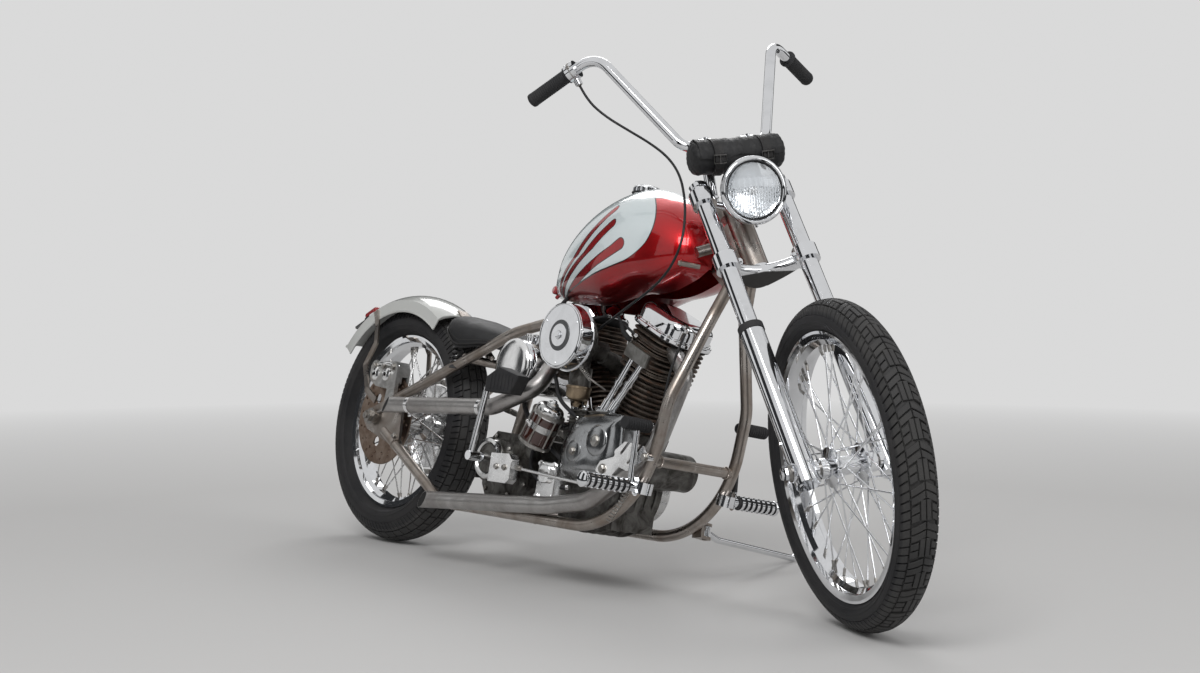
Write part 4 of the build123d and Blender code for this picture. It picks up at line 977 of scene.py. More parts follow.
# Grips: ribbed rubber with a rounded end and a collar
GRIP_LENGTH = 112.0
GRIP_CLOSED = GRIP_LENGTH - 0.4
GRIP_RIBS = 17
grip_end = Vector((head_at.x - 390.7, -362, head_at.z + 400.7))
bar_top = Vector((head_at.x - 275.7, -226, head_at.z + 484.7))
grip_line = (bar_top - grip_end).normalized()
grip_rows = [(0.0, -5.5), (11.5, -5.5), (16.2, -3.0), (17.6, 1.5), (17.6, 5.0)]
for n in range(GRIP_RIBS):
    grip_rows += [(r, 9.0 + n * 5.6 + up) for r, up in ((16.6, 0), (17.3, 1.2), (17.3, 3.2), (16.6, 4.4))]
grip_rows += [(17.8, 106.5), (21.0, 108.0), (21.0, 111.0), (18.0, GRIP_CLOSED), (0.0, GRIP_CLOSED)]
grips = Shape()
for side in (1, -1):
    mirror = Vector((1, side, 1))
    grips.turned(grip_rows, facing(grip_end * mirror, grip_line * mirror), 32)
grips.make("hand_grips_ribbed", "rubber", "black_rubber", "fork", stands_for="hand_grips")

# Throttle housing: a clamp band, two screws and the spout's nut
spout_line = Vector((10, 10, -34)).normalized()
housing_at = grip_end + grip_line * (GRIP_LENGTH + 14)
clamp_band = facing(grip_end + grip_line * (GRIP_LENGTH + 12.4), grip_line)
housing = Shape().turned([(23.2, 0.0), (24.6, 0.6), (24.6, 2.6), (23.2, 3.2), (22.5, 1.6)], clamp_band, 40)
for turn in (0.6, 2.7):
    out = clamp_band.to_3x3() @ Vector((math.cos(turn), math.sin(turn), 0))
    housing.drum(housing_at + out * 17, out, 5.0, 9.0, 12, 1.2)
housing.drum(housing_at + spout_line * 30, spout_line, 6.6, 9.0, 6, 0.8)
housing.make("throttle_screws", "steel", "bright_steel", "fork")

# Throttle cable: one smooth line from the throttle's spout, round the steering head, to the carburettor
CABLE_R = 3.0
spout_end = housing_at + spout_line * 37
gland_line = Vector((0.75, 0.0135, 0.66)).normalized()
gland_end = Vector((870.6, -122, 552.4)) + gland_line * 32
cable_middle = [
    (896, -180, 1098), (950, -146, 1068), (1012, -127, 1038), (1076, -120, 1002), (1130, -124, 956),
    (1168, -134, 900), (1200, -152, 846), (1218, -167, 790), (1202, -172, 734), (1152, -166, 692),
    (1088, -154, 664), (1024, -140, 640), (964, -127, 616),
]
cable_route = [ON_BODY["fork"] @ (spout_end + spout_line * out) for out in (0.3, 42)]
cable_route += [ON_BODY["frame"] @ Vector(p) for p in cable_middle]
cable_route += [ON_BODY["frame"] @ (gland_end + gland_line * out) for out in (34.3, 0.3)]
cable = Shape().tube(smooth_line(cable_route), CABLE_R / 1000, 12)
cable = cable.build("throttle_cable_smooth", "sheath", Matrix())
tuple(cable_route[2])
tuple(cable_route[12])
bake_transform(cable)
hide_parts("throttle_cable")


def through(points, steps, closed=False):
    """A smooth run of points through the given ones."""
    count = len(points)
    line = []
    for n in range(count if closed else count - 1):
        near = [n + k for k in (-1, 0, 1, 2)]
        near = [k % count if closed else min(max(k, 0), count - 1) for k in near]
        for k in range(steps):
            t = k / steps
            line.append([
                q + t / 2 * (r - p + t * (2 * p - 5 * q + 4 * r - s + t * (3 * (q - r) + s - p)))
                for p, q, r, s in zip(*(points[k] for k in near))
            ])
    return line if closed else line + [list(points[-1])]


def share(x, start, end):
    """0 up to start, 1 from end on, and evenly between."""
    return min(max((x - start) / (end - start), 0.0), 1.0)


def three_point_arc(a, b, c, steps):
    """Points of the circle's arc from a by b to c, in the plane."""
    (ax, ay), (bx, by), (cx, cy) = a, b, c
    aa, bb, cc = ax * ax + ay * ay, bx * bx + by * by, cx * cx + cy * cy
    d = 2 * (ax * (by - cy) + bx * (cy - ay) + cx * (ay - by))
    ux = (aa * (by - cy) + bb * (cy - ay) + cc * (ay - by)) / d
    uy = (aa * (cx - bx) + bb * (ax - cx) + cc * (bx - ax)) / d
    r = math.hypot(ax - ux, ay - uy)
    start, middle, end = (math.atan2(q - uy, p - ux) for p, q in (a, b, c))
    turn = (end - start) % (2 * math.pi)
    if (middle - start) % (2 * math.pi) > turn:
        turn -= 2 * math.pi
    angles = [start + turn * n / steps for n in range(steps + 1)]
    return [(ux + r * math.cos(angle), uy + r * math.sin(angle)) for angle in angles]


# Fuel tank: one skin over the same sections as the part, its underside drawn up to the front
TUNNEL_HALF = 31.5
# room for the rocker covers, inside the tank's skirts
ROOM_HALF = 79.0
ROOM_TOP = 706.0
ROOM_FROM, ROOM_TO = 640, 1056
KEEL_FROM, KEEL_TO = 870, 1030
NOSE_X = 1176
tank_rows = [
    # x, top, bottom, half width, height of the keel where the underside is drawn up
    (604, 716, 690, 22, 690), (690, 838, 674, 84, 690), (800, 922, 662, 118, 690), (930, 958, 660, 136, 690),
    (1050, 928, 688, 136, 700), (1130, 884, 722, 116, 727), (NOSE_X, 842, 752, 84, 755),
]


def tunnel_roof(x):
    return 652.8 + 0.3553 * (x - 585) if x < 1010 else 803.8 + 0.143 * (x - 1010)


def tank_half(x, top, bottom, half, keel):
    """Half a section, from the top down to the tunnel's roof, as side and height."""
    waist = bottom + (top - bottom) * 0.45
    upper = three_point_arc((0, top), (half * 0.72, top - (top - waist) * 0.28), (half, waist), 20)
    corner = half * 0.6
    bulge = (half * 0.9, bottom + (waist - bottom) * 0.3)
    low = three_point_arc((half, waist), bulge, (corner, bottom), 14)[1:]
    inner = min(ROOM_HALF, corner * 0.96)
    tunnel = min(TUNNEL_HALF, corner * 0.7)
    room = max(ROOM_TOP if ROOM_FROM < x < ROOM_TO else bottom, bottom)
    low += [(inner, bottom), (inner, room), (tunnel, room)]
    egg = []
    for n in range(1, len(low) + 1):
        a = math.pi / 2 * n / len(low)
        side = max(half * math.cos(a) ** 0.7, tunnel)
        egg.append((side, waist - (waist - keel) * math.sin(a) ** 0.7))
    drawn = share(x, KEEL_FROM, KEEL_TO)
    drawn = drawn * drawn * (3 - 2 * drawn)
    blend = [(p[0] + (q[0] - p[0]) * drawn, p[1] + (q[1] - p[1]) * drawn) for p, q in zip(low, egg)]
    roof = max(tunnel_roof(x), blend[-1][1] + 0.3)
    return upper + blend + [(blend[-1][0], roof), (0, roof)]


tank_rings = []
for x, top, bottom, half, keel in through(tank_rows, 14):
    # the last sections shrink to round the nose
    shrink = 0.80 + 0.20 * math.sqrt(1 - (1 - share(x, NOSE_X, NOSE_X - 26)) ** 2)
    middle = (top + bottom) / 2
    section = tank_half(
        x, middle + (top - middle) * shrink, middle + (bottom - middle) * shrink, half * shrink, keel
    )
    tank_rings.append([(x, y, z) for y, z in section] + [(x, -y, z) for y, z in reversed(section[1:-1])])
Shape().skin(tank_rings).make("fuel_tank_painted", "tank", "candy_red", stands_for="fuel_tank")
tank_mounts = Shape()
for side in (1, -1):
    stud_line = (-0.45, side * 0.89, 0)
    tank_mounts.tube([(1176, side * 82, 783), (1188, side * 50, 799), (1196, side * 14, 815)], 13.0, 20)
    tank_mounts.drum((1168, side * 58, 755), stud_line, 6.5, 46, 20, 1)
    tank_mounts.bolt((1147, side * 98.5, 755), stud_line, 6, 6)
tank_mounts.make("tank_mounts", "raw_tube", "raw_steel")
tap = Shape().drum((640, -30, 702), (0, -0.6, -0.8), 5, 26, 16, 1)
tap_knob = [(0, 0), (9, 0), (11, 3), (11, 10), (8, 13), (0, 13)]
tap.turned(tap_knob, facing((640, -44, 700), (-0.3, -1, 0.2)), 20)
tap.make("fuel_tap", "tank_red", "candy_red")

# Seat: a crowned leather pad with a welt round its lower edge, stitched along it, on two springs
SEAT_BASE = 588.0
SEAT_HEIGHT = 56.0
SEAT_SINK = 26.0
SEAT_DROOP = 30.0
SEAT_HALF = 108
SEAT_MIDDLE_X = 340
seat_side = [(222, 0), (232, 62), (272, 104), (332, 107), (396, 88), (446, 54), (472, 0)]
seat_line = through(seat_side + [(x, -y) for x, y in reversed(seat_side[1:-1])], 8, closed=True)


def seat_ring(size, height):
    """The outline shrunk to a share of its size, at a height over the base that falls to the front."""
    points = []
    for edge_x, edge_y in seat_line:
        x, y = SEAT_MIDDLE_X + (edge_x - SEAT_MIDDLE_X) * size, edge_y * size
        rise = 1.0 - 0.60 * share(x, 320, 470) ** 1.5
        crease = 0.6 * math.sin(x * 0.11) * math.sin(y * 0.09)
        droop = SEAT_DROOP * (abs(y) / SEAT_HALF) ** 2 * (1 - height) * share(x, 250, 310)
        droop += SEAT_SINK * share(x, 240, 330)
        points.append(Vector((x, y, SEAT_BASE - droop + height * SEAT_HEIGHT * rise + crease)))
    return points


seat_rows = [
    # share of the outline, share of the height
    (0.90, 0.0), (0.97, 0.02), (1.00, 0.10), (0.985, 0.16), (0.995, 0.25), (0.985, 0.40), (0.95, 0.56),
    (0.88, 0.71), (0.77, 0.84), (0.61, 0.93), (0.42, 0.98), (0.20, 1.0), (0.04, 1.0),
]
pad = Shape().skin([seat_ring(*row) for row in seat_rows])
seat_pad = pad.make("seat_pad", "leather", "black_leather", stands_for="seat")
welt_line = seat_ring(1.008, 0.16)
Shape().tube(welt_line + welt_line[:2], 2.6, 8).make("seat_welt", "leather_edge", "black_leather")
stitches = Shape()
stitch_line = seat_ring(0.996, 0.30)
for a, b in zip(stitch_line, stitch_line[1:]):
    stitches.tube([a.lerp(b, 0.15), a.lerp(b, 0.75)], 0.7, 5)
stitches.make("seat_stitching", "thread", "black_leather")
seat_springs = Shape()
for side in (1, -1):
    seat_springs.spring((300, side * 85, 486), (297, side * 80, 562), 13.0, 2.6, 6)
    seat_springs.drum((300, side * 85, 482), UP, 16, 6, 24, 1)
    seat_springs.drum((297, side * 80, 560), UP, 16, 6, 24, 1)
seat_springs.make("seat_springs", "black", "black_paint")


def rounded_box(length, width, corner, x=0, y=0):
    """An outline of straight sides and round corners, about a middle at x, y."""
    points = []
    for quarter, (sx, sy) in enumerate(((1, 1), (-1, 1), (-1, -1), (1, -1))):
        for k in range(9):
            a = math.pi / 2 * (quarter + k / 8)
            points.append((
                x + sx * (length / 2 - corner) + corner * math.cos(a),
                y + sy * (width / 2 - corner) + corner * math.sin(a),
            ))
    return points


# Engine: the rocker covers' flanges, gaskets and screws, the heads' fins, base nuts and plug boots
CRANK = Vector((890, 0, 235))
V_HALF = math.radians(22.5)
HEAD_TOP = 398.0
HEAD_FINS = 9
FIN_STEP = 11.6
flange_outline = rounded_box(194, 148, 52)
screw_places = [(82, 30), (62, 64), (22, 68), (-22, 68), (-62, 64), (-82, 30)]
boot_steps = ((8, 0), (18, 0), (34, 8), (44, 26))
flanges, gaskets, head_fins, screws, boots = (Shape() for _ in range(5))
for sign in (1, -1):
    along = Vector((math.cos(V_HALF * sign), 0, -math.sin(V_HALF * sign)))
    up = Vector((math.sin(V_HALF * sign), 0, math.cos(V_HALF * sign)))
    place = axes_matrix(along, LEFT, up, CRANK)
    head = place @ Matrix.Translation((0, 0, HEAD_TOP))
    flanges.slab(flange_outline, [(0.5, 1), (1.5, 0), (8, 0), (9.5, 1.5)], head)
    flanges.slab(rounded_box(186, 140, 49), [(9, 0), (12, 0), (13, 1)], head)
    gaskets.slab(flange_outline, [(-2.0, 2), (0.8, 2)], head)
    for n in range(HEAD_FINS):
        fin = place @ Matrix.Translation((0, 0, 292.0 + n * FIN_STEP))
        head_fins.slab(rounded_box(146, 154, 40), [(0, 1.2), (0.6, 0), (2.6, 0), (3.2, 1.2)], fin)
    for x, y in screw_places:
        for side in (1, -1):
            screws.drum(head @ Vector((x, y * side, 9)), up, 4.4, 5, 14, 1.0)
    for x in (-56, 56):
        for y in (-56, 56):
            screws.bolt(place @ Vector((x, y, 160)), up, 8, 9)
    plug_at = place @ Vector((-38 * sign, -70, 352))
    plug_line = place.to_3x3() @ Vector((-0.25 * sign, -1, 0.25)).normalized()
    screws.bolt(plug_at, plug_line, 9, 10)
    boot = [plug_at + plug_line * out + Vector((0, 0, rise)) for out, rise in boot_steps]
    boots.tube(boot, lambda t: 7.5 - 2.5 * t, 12)
flanges.make("rocker_flanges", "chrome", "chrome")
gaskets.make("rocker_gaskets", "rubber", "black_rubber")
head_fins.make("head_fins", "iron", "barrel_iron")
boots.make("plug_boots", "rubber", "black_rubber")

# The flared blocks that carry the pushrod tubes
tappets = Shape()
for x, lean in ((956, 0.33), (881, -0.33)):
    foot = Vector((x - lean * 30, -99, 336))
    tip = Vector((x + lean * 26, -99, 404))
    rings = []
    for part, half_length, half_width in ((0, 41, 17), (0.12, 40, 17), (0.9, 30, 14.5), (1.0, 28, 13)):
        at = foot.lerp(tip, part)
        outline = rounded_box(half_length * 2, half_width * 2, 9)
        rings.append([at + Vector((px, py, -px * lean * 0.4)) for px, py in outline])
    tappets.skin(rings)
    for side in (-1, 1):
        tappets.bolt(tip + Vector((side * 20, -9, -side * lean * 9)), (lean, 0, 1), 4.5, 5)
tappets.make("tappet_blocks", "cover_metal", "polished_alloy")

# Timing cover: a sculpted face that flares up to the tappets, with two domes and four ribs
cover_corners = [
    (852, 252), (890, 238), (960, 236), (1020, 246), (1056, 286), (1060, 372), (1040, 396), (900, 383),
    (848, 318),
]
cover_rows = [(117.5, 0), (121, 0), (124, 2.5), (127, 8), (132, 17), (136, 27), (138, 38), (138.6, 60)]
cover = Shape().slab(through(cover_corners, 6, closed=True), cover_rows, RIGHT_SIDE)
cover.turned([(0, 0), (39, 0), (39, 8), (36, 13), (30, 15.5), (0, 17)], facing((990, -126, 330), RIGHT), 48)
cover.turned([(0, 0), (29, 0), (29, 7), (26, 11), (20, 13), (0, 14)], facing((912, -128, 300), RIGHT), 40)
cover_ribs = [(960, 318, 890, 262), (985, 300, 970, 246), (968, 344, 900, 366), (1010, 352, 1034, 378)]
for x0, z0, x1, z1 in cover_ribs:
    cover.tube([(x0, -134, z0), ((x0 + x1) / 2, -133, (z0 + z1) / 2), (x1, -124, z1)], 5.0, 12)
cover.make("timing_cover_face", "cover_metal", "polished_alloy")

# The polished oil pump behind the timing cover, and a ring round the kick starter's shaft
pump = Shape().slab(rounded_box(70, 92, 10, 806, 222), [(70, 0), (121, 0), (124, 3)], RIGHT_SIDE)
pump.slab(rounded_box(38, 44, 12, 806, 238), [(123, 0), (131, 0), (133, 2)], RIGHT_SIDE)
for x in (780, 832):
    for z in (184, 262):
        pump.bolt((x, -124, z), RIGHT, 5.5, 5)
pump.make("oil_pump_cover", "plate", "polished_alloy")
KICK_AT = (588, -136, 258)
kick_outline = [(37, 0), (52, 0), (53, 4), (50, 12), (42, 14), (38, 10)]
kick_ring = Shape().turned(kick_outline, facing(KICK_AT, RIGHT), 64)
kick_ring.make("kick_cover_ring", "worn_chrome", "polished_alloy")

# Screws of the timing cover and the gearbox, which join the rocker covers' screws in one piece
slotted_screws = [
    # x, y, z on the right side
    (868, -121, 262), (920, -121, 246), (985, -121, 246), (1044, -121, 290), (1050, -121, 350),
    (1030, -121, 384), (955, -121, 376), (900, -121, 368), (862, -121, 312), (660, -128, 224),
    (664, -128, 250), (652, -128, 288), (700, -104, 205), (696, -104, 308), (545, -104, 184),
    (640, -104, 176), (560, -104, 318),
]
for x, y, z in slotted_screws:
    screws.drum((x, y, z), RIGHT, 5.4, 5.5, 16, 1.2)
    screws.drum((x, y - 5.0, z), RIGHT, 2.4, 0.9, 6)
for x, z in circle(44, 8, 0.3):
    screws.bolt((KICK_AT[0] + x, KICK_AT[1], KICK_AT[2] + z), RIGHT, 4.6, 4)
for x, y, z, size in ((990, -143, 330, 11), (912, -142, 300, 8), (672, -176, 240, 6), (704, -176, 240, 6)):
    screws.bolt((x, y, z), RIGHT, size, 5)
screws.make("engine_screws", "steel", "bright_steel")

# Fins of the tappet guides, ribs of the air cleaner's backing and ribs round the crankcase
AIR_X, AIR_Z = 862, 566
fins = Shape()
for x in (956, 881):
    for n in range(4):
        z = 370 + n * 8.5
        fins.block((x - 33, -121, z), (x + 33, -70, z + 3.2))
for n in range(5):
    r = 76.0 - n * 4.0
    rib = [(r - 30, 0), (r, 0), (r, 2.6), (r - 30, 2.6)]
    fins.turned(rib, facing((AIR_X, -150 + n * 6.5, AIR_Z), LEFT), 56)
for y in (-54, -27, 0, 27, 54):
    rib = [(108, -3), (120, -2.4), (121.5, 0), (120, 2.4), (108, 3)]
    fins.turned(rib, facing((CRANK.x, y, CRANK.z), LEFT), 72)
fins.make("cast_fins", "alloy", "cast_alloy", bevel=0.6)

# Air cleaner: a darker brushed disc inside the cover, left bare, rolled rims and a centre bolt
disc = [(0, -1), (36, -1), (37.5, 0.4), (36.5, 1.6), (28, 2.0), (0, 3.6)]
air_disc = Shape().turned(disc, facing((AIR_X, -192, AIR_Z), RIGHT), 72)
air_disc.make("air_cleaner_disc", "brushed", "polished_alloy")
front_rim = [(70, -1.5), (76, -1.5), (78.6, 1.0), (78.8, 3.4), (76, 4.6), (73, 3.2)]
back_rim = [(76, 0), (81.5, 0), (82.5, 1.5), (81.5, 4.0), (76, 4.0)]
air_trim = Shape().turned(front_rim, facing((AIR_X, -188, AIR_Z), RIGHT), 96)
air_trim.turned(back_rim, facing((AIR_X, -152, AIR_Z), RIGHT), 96)
air_trim.bolt((AIR_X, -195, AIR_Z), RIGHT, 7, 6)
for x, z in circle(66, 3, 0.5):
    air_trim.drum((AIR_X + x, -190, AIR_Z + z), RIGHT, 2.6, 3.6, 10, 0.8)
air_trim.make("air_cleaner_trim", "chrome", "chrome")

# Carburettor: a brass bowl with its nut
bowl = [(0, -14), (6, -14), (7, -8), (22, -4), (28.5, 4), (29.5, 22), (31, 23), (31, 28), (29.5, 29), (0, 29)]
brass = Shape().turned(bowl, facing((872, -118, 426), UP), 40)
brass.bolt((872, -118, 413), (0, 0, -1), 8, 7)
brass.make("carburettor_bowl", "brass", "bright_steel")

# The carburettor's lever and spring, the brake's rod with its ends, and the pedal's spring
linkage_rods = [
    # radius, points
    (2.2, [(880, -140, 512), (905, -150, 500), (912, -150, 497)]),
    (2.2, [(946, -150, 473), (968, -146, 462), (974, -120, 450)]),
    (3.4, [(1053, -176, 224), (1075, -178, 226), (1108, -172, 236), (1150, -166, 246)]),
]
linkage = Shape().spring((905, -150, 500), (950, -150, 470), 5.0, 1.1, 9)
for radius, points in linkage_rods:
    linkage.tube(points, radius, 8)
linkage.block((866, -152, 500), (888, -148, 530))
for x, z in ((740, 243.5), (1040, 226)):
    linkage.drum((x, -166 - (x - 720) * 0.042, z), (1, -0.04, -0.06), 7.0, 20, 12, 1.5)
linkage.spring((1098, -160, 150), (1150, -160, 226), 6.0, 1.3, 10)
linkage.make("linkage_and_springs", "steel", "bright_steel")

# Rubber hoses and wires, each a smooth line with a clamp at its ends
hose_rows = [
    # radius, points
    (6.0, [
        (600, -58, 432), (632, -96, 412), (684, -112, 372), (748, -108, 320), (816, -100, 282),
        (852, -92, 262),
    ]),
    (5.0, [
        (884, -112, 378), (848, -132, 402), (806, -126, 430), (760, -98, 462), (706, -70, 492),
        (662, -60, 508),
    ]),
    (5.0, [
        (706, -44, 690), (716, -84, 668), (752, -112, 636), (800, -124, 606), (838, -122, 580),
        (858, -118, 560),
    ]),
    (3.4, [(862, -46, 640), (836, -92, 622), (812, -104, 600), (790, -96, 584), (776, -80, 576)]),
    (3.4, [(896, -44, 646), (932, -84, 636), (974, -104, 616), (1002, -96, 598), (1012, -82, 586)]),
    (3.0, [
        (1080, -56, 318), (1112, -76, 346), (1142, -92, 392), (1164, -104, 446), (1178, -110, 520),
        (1196, -96, 600),
    ]),
    (4.5, [(700, -92, 300), (724, -118, 262), (760, -124, 226), (812, -112, 206), (862, -96, 214)]),
    (4.0, [(640, 30, 470), (676, 62, 440), (720, 84, 392), (760, 92, 340), (792, 88, 296)]),
]
hoses = Shape()
clips = Shape()
for radius, points in hose_rows:
    line = smooth_line(points)
    hoses.tube(line, radius, 12)
    for end, nearby in ((line[0], line[3]), (line[-1], line[-4])):
        run = (nearby - end).normalized()
        clips.drum(end - run * 2, run, radius + 1.8, 9, 16, 0.8)
hoses.make("engine_hoses", "rubber", "black_rubber")


def clamp_ring(inner, outer, half, sprung=1.0):
    """The outline of a flat band, sprung in at its middle."""
    return [(inner, -half), (outer, -half), (outer, half), (inner, half), (inner - sprung, 0)]


# Bands, caps and screws of the side canister, the oil drum and the exhausts
canister_line = Vector((0.42, 0.05, 0.9)).normalized()
canister_foot = Vector((768, -150, 298))
canister_place = facing(canister_foot, canister_line)
DRUM_X, DRUM_Z = 600, 498
clips.turned(clamp_ring(36, 37.4, 3.5), canister_place @ Matrix.Translation((0, 0, 88)), 56)
clips.drum(canister_foot + canister_line * 58 + Vector((-18, -36, 8)), (0.9, -0.1, -0.42), 4.0, 24, 10, 1)
clips.drum(canister_foot + canister_line * 113, canister_line, 14, 9, 24, 2)
clips.bolt(canister_foot + canister_line * 121, canister_line, 7, 6)
for y in (-92, 92):
    clips.turned(clamp_ring(65.5, 67.4, 5), facing((DRUM_X, y, DRUM_Z), LEFT), 72)
drum_end = [(0, 0), (66.5, 0), (67.5, 3), (64, 8), (50, 13), (26, 16), (0, 17)]
clips.turned(drum_end, facing((DRUM_X, -117.6, DRUM_Z), RIGHT), 72)
clips.drum((DRUM_X, -70, DRUM_Z + 76), UP, 19, 9, 32, 2)
for x, z in ((560, 380.4), (240, 370)):
    clips.turned(clamp_ring(21.2, 22.8, 7, 0.7), facing((x, -162, z), (1, 0, 0.04)), 40)
    clips.bolt((x, -162, z - 22), (0, 0, -1), 5, 8)
clips.make("clamp_bands", "plate", "bright_steel")

# Side canister: an amber bowl in a cage of six bright rods and two rings
amber = [(35.6, 16), (36.6, 20), (36.6, 52), (36.6, 84), (35.6, 88), (30, 88), (30, 16)]
Shape().turned(amber, canister_place, 56).make("canister_bowl", "amber", "red_lens")
cage = Shape()
for x, y in circle(38.6, 6, 0.4):
    cage.tube([canister_place @ Vector((x, y, h)) for h in (10, 96)], 2.2, 8)
for h in (12, 92):
    rim = [(35, h - 4), (41.4, h - 4), (42, h), (41.4, h + 4), (35, h + 4)]
    cage.turned(rim, canister_place, 56)
cage.make("canister_cage", "steel", "bright_steel")

# Pedal rubbers: the brake's ribbed pad, and ribbed sleeves on the forward controls
PEDAL_OUT = 198
PEDAL_HALF = 20.0
pedal_outline = [(631, 418), (734, 416), (760, 461), (679, 481), (630, 454)]
pedal_rows = [(-PEDAL_HALF, 3), (-PEDAL_HALF + 3, 0), (PEDAL_HALF - 3, 0), (PEDAL_HALF, 3)]
rubbers = Shape().slab(pedal_outline, pedal_rows, RIGHT_SIDE @ Matrix.Translation((0, 0, PEDAL_OUT)))
for n in range(7):
    x = 650 + n * 14
    top = 456 if x > 725 else 462
    rubbers.block((x, -PEDAL_OUT - PEDAL_HALF - 1.4, 424), (x + 6, -PEDAL_OUT - PEDAL_HALF + 1, top))
sleeve = [(0, 0), (14, 0), (15, 2)]
for n in range(9):
    sleeve += [(r, n * 7.2 + up) for r, up in ((13.4, 5), (15.2, 6.5), (15.2, 9.5), (13.4, 11))]
sleeve += [(15, 72), (13.5, 75), (0, 75)]
for x, y, z, line in ((1158, -132, 374, RIGHT), (1142, 176, 410, LEFT)):
    rubbers.turned(sleeve, facing((x, y, z), line), 28)
rubbers.make("pedal_rubbers", "rubber", "black_rubber", bevel=0.8)

# Foot pegs: dark rings of rubber between the bright collars, and a cap on each end
PEG_STEP = 16.67
peg_rings = Shape()
peg_caps = Shape()
for side in (1, -1):
    out = (0, side, 0)
    for n in range(1, 9):
        place = facing((1157, side * (154.4 + n * PEG_STEP), 236), out)
        peg_rings.turned([(11.5, 0), (14.2, 0.6), (14.8, 4), (14.2, 7.4), (11.5, 8)], place, 24)
    peg_end = facing((1157, side * 294, 236), out)
    peg_caps.turned([(0, 0), (17, 0), (18, 2), (18, 8), (14, 11), (0, 12)], peg_end, 32)
    peg_caps.bolt((1163, side * 152, 250), out, 8, 7)
    peg_caps.bolt((1166, side * 152, 224), out, 6, 5)
peg_rings.make("peg_rubbers", "rubber", "black_rubber")
peg_caps.make("peg_caps", "chrome", "chrome")

# Side shield screws, axle nuts and chain adjusters, caliper bolts and washers
ADJUSTER_LINE = (1, 0, 0.35)
hardware = Shape()
hardware.bolt((1045, -155, 267), RIGHT, 9, 6)
hardware.bolt((1184, -155, 304), RIGHT, 8, 6)
for side in (1, -1):
    out = (0, side, 0)
    hardware.bolt((0, side * 131, 332), out, 17, 12)
    hardware.drum((0, side * 142, 332), out, 9.0, 9, 20, 1)
    hardware.drum((22, side * 123.5, 344), ADJUSTER_LINE, 4.0, 44, 12, 0.6)
    hardware.bolt((58, side * 123.5, 356.6), ADJUSTER_LINE, 7, 7, washer=False)
    for x, z in ((112, 380), (116, 284)):
        hardware.bolt((x, side * 119, z), out, 8, 6)
for x in (-48, -1, 46):
    hardware.bolt((x, -110.5, 474), RIGHT, 8, 6)
for x in (-36, 20):
    hardware.drum((x, -115.5, 450), RIGHT, 9, 3, 24, 1)
hardware.make("frame_hardware", "steel", "bright_steel")

# Weld beads round the frame's tubes
weld_rows = [
    # place, line, radius of the tube
    ((1142, 0, 797), (1, 0, 0.40), 19.5), ((575, 0, 634), (0.25, 0, 1), 14.6),
    ((1178, -104, 300), LEFT, 12.6), ((1178, 104, 300), LEFT, 12.6),
    ((780, -116, 131), LEFT, 12.6), ((780, 116, 131), LEFT, 12.6),
    ((452, -116, 131), LEFT, 12.6), ((452, 116, 131), LEFT, 12.6),
    ((118, -113, 366), (1, 0.12, 0.49), 14.6), ((118, 113, 366), (1, -0.12, 0.49), 14.6),
    ((128, -117, 264), (1, -0.04, -0.5), 14.6), ((128, 117, 264), (1, 0.04, -0.5), 14.6),
]
WELD_STEPS = 72
WELD_RIPPLES = 22
welds = Shape()
for at, line, radius in weld_rows:
    place = facing(at, line)
    bead = []
    for n in range(WELD_STEPS):
        a = 2 * math.pi * n / WELD_STEPS
        r = radius + 0.7 + 0.5 * math.sin(a * WELD_RIPPLES)
        bead.append(place @ Vector((r * math.cos(a), r * math.sin(a), 0.8 * math.sin(a * WELD_RIPPLES + 1))))
    welds.tube(bead + bead[:1], 1.9, 8)
welds.make("frame_welds", "raw_tube", "raw_steel")

# Exhaust outlets: slash-cut ends with a sooty inside, open to the bike's right
OUTLET_CUT = 84.0
outlets = Shape()
soot = Shape()
for at, line in (((157, -162, 367), (-1, 0, -0.038)), ((416, -172, 134), (-0.9966, -0.0426, -0.069))):
    place = facing(at, line)
    to_right = (place.to_3x3().inverted() @ Vector((0, -1, 0.25))).normalized()

    def slashed(radius, size, drop=0.0):
        """A ring along the slanting cut, drawn in to a share of its size."""
        points = []
        for x, y in circle(radius, 48):
            lean = (x * to_right.x + y * to_right.y) / radius
            points.append((x * size, y * size, OUTLET_CUT * (1 - lean) / 2 - drop))
        return points

    outlets.skin([ring(21.3, -6, 48), slashed(21.6, 1), slashed(21.6, 0.94), ring(20.0, -5, 48)], place)
    soot.skin([slashed(20.2, 0.995, 0.6), ring(19.6, 0.4, 48)], place)
outlets.make("exhaust_outlets", "pipe", "exhaust_steel")
soot.make("exhaust_soot", "soot", "black_paint")

# Primary cover: two round inspection lids with their screws, and screws round the edge
lids = [
    # x and z, outline, steps round, and the screws' radius, count and turn
    (612, 272, [(0, 9), (30, 8.4), (62, 6), (67, 2.5), (68, 0), (68, -1)], 72, 58, 6, 0.3),
    (CRANK.x, CRANK.z, [(0, 7), (30, 6.4), (46, 4), (50, 1.5), (50.6, -1)], 64, 43, 5, 0.2),
]
edge_screws = [
    (612, 368), (540, 338), (518, 272), (540, 206), (612, 176), (700, 182), (790, 168), (890, 163),
    (944, 190), (962, 240), (944, 286), (884, 308), (790, 336), (700, 356),
]
primary = Shape()
for lid_x, lid_z, outline, around, screw_r, count, turn in lids:
    primary.turned(outline, facing((lid_x, 137.5, lid_z), LEFT), around)
    for x, z in circle(screw_r, count, turn):
        primary.drum((lid_x + x, 143, lid_z + z), LEFT, 3.8, 4.5, 14, 1)
for x, z in edge_screws:
    primary.drum((x, 133, z), LEFT, 4.6, 6.5, 14, 1.2)
primary.make("primary_cover_lids", "plate", "polished_alloy")

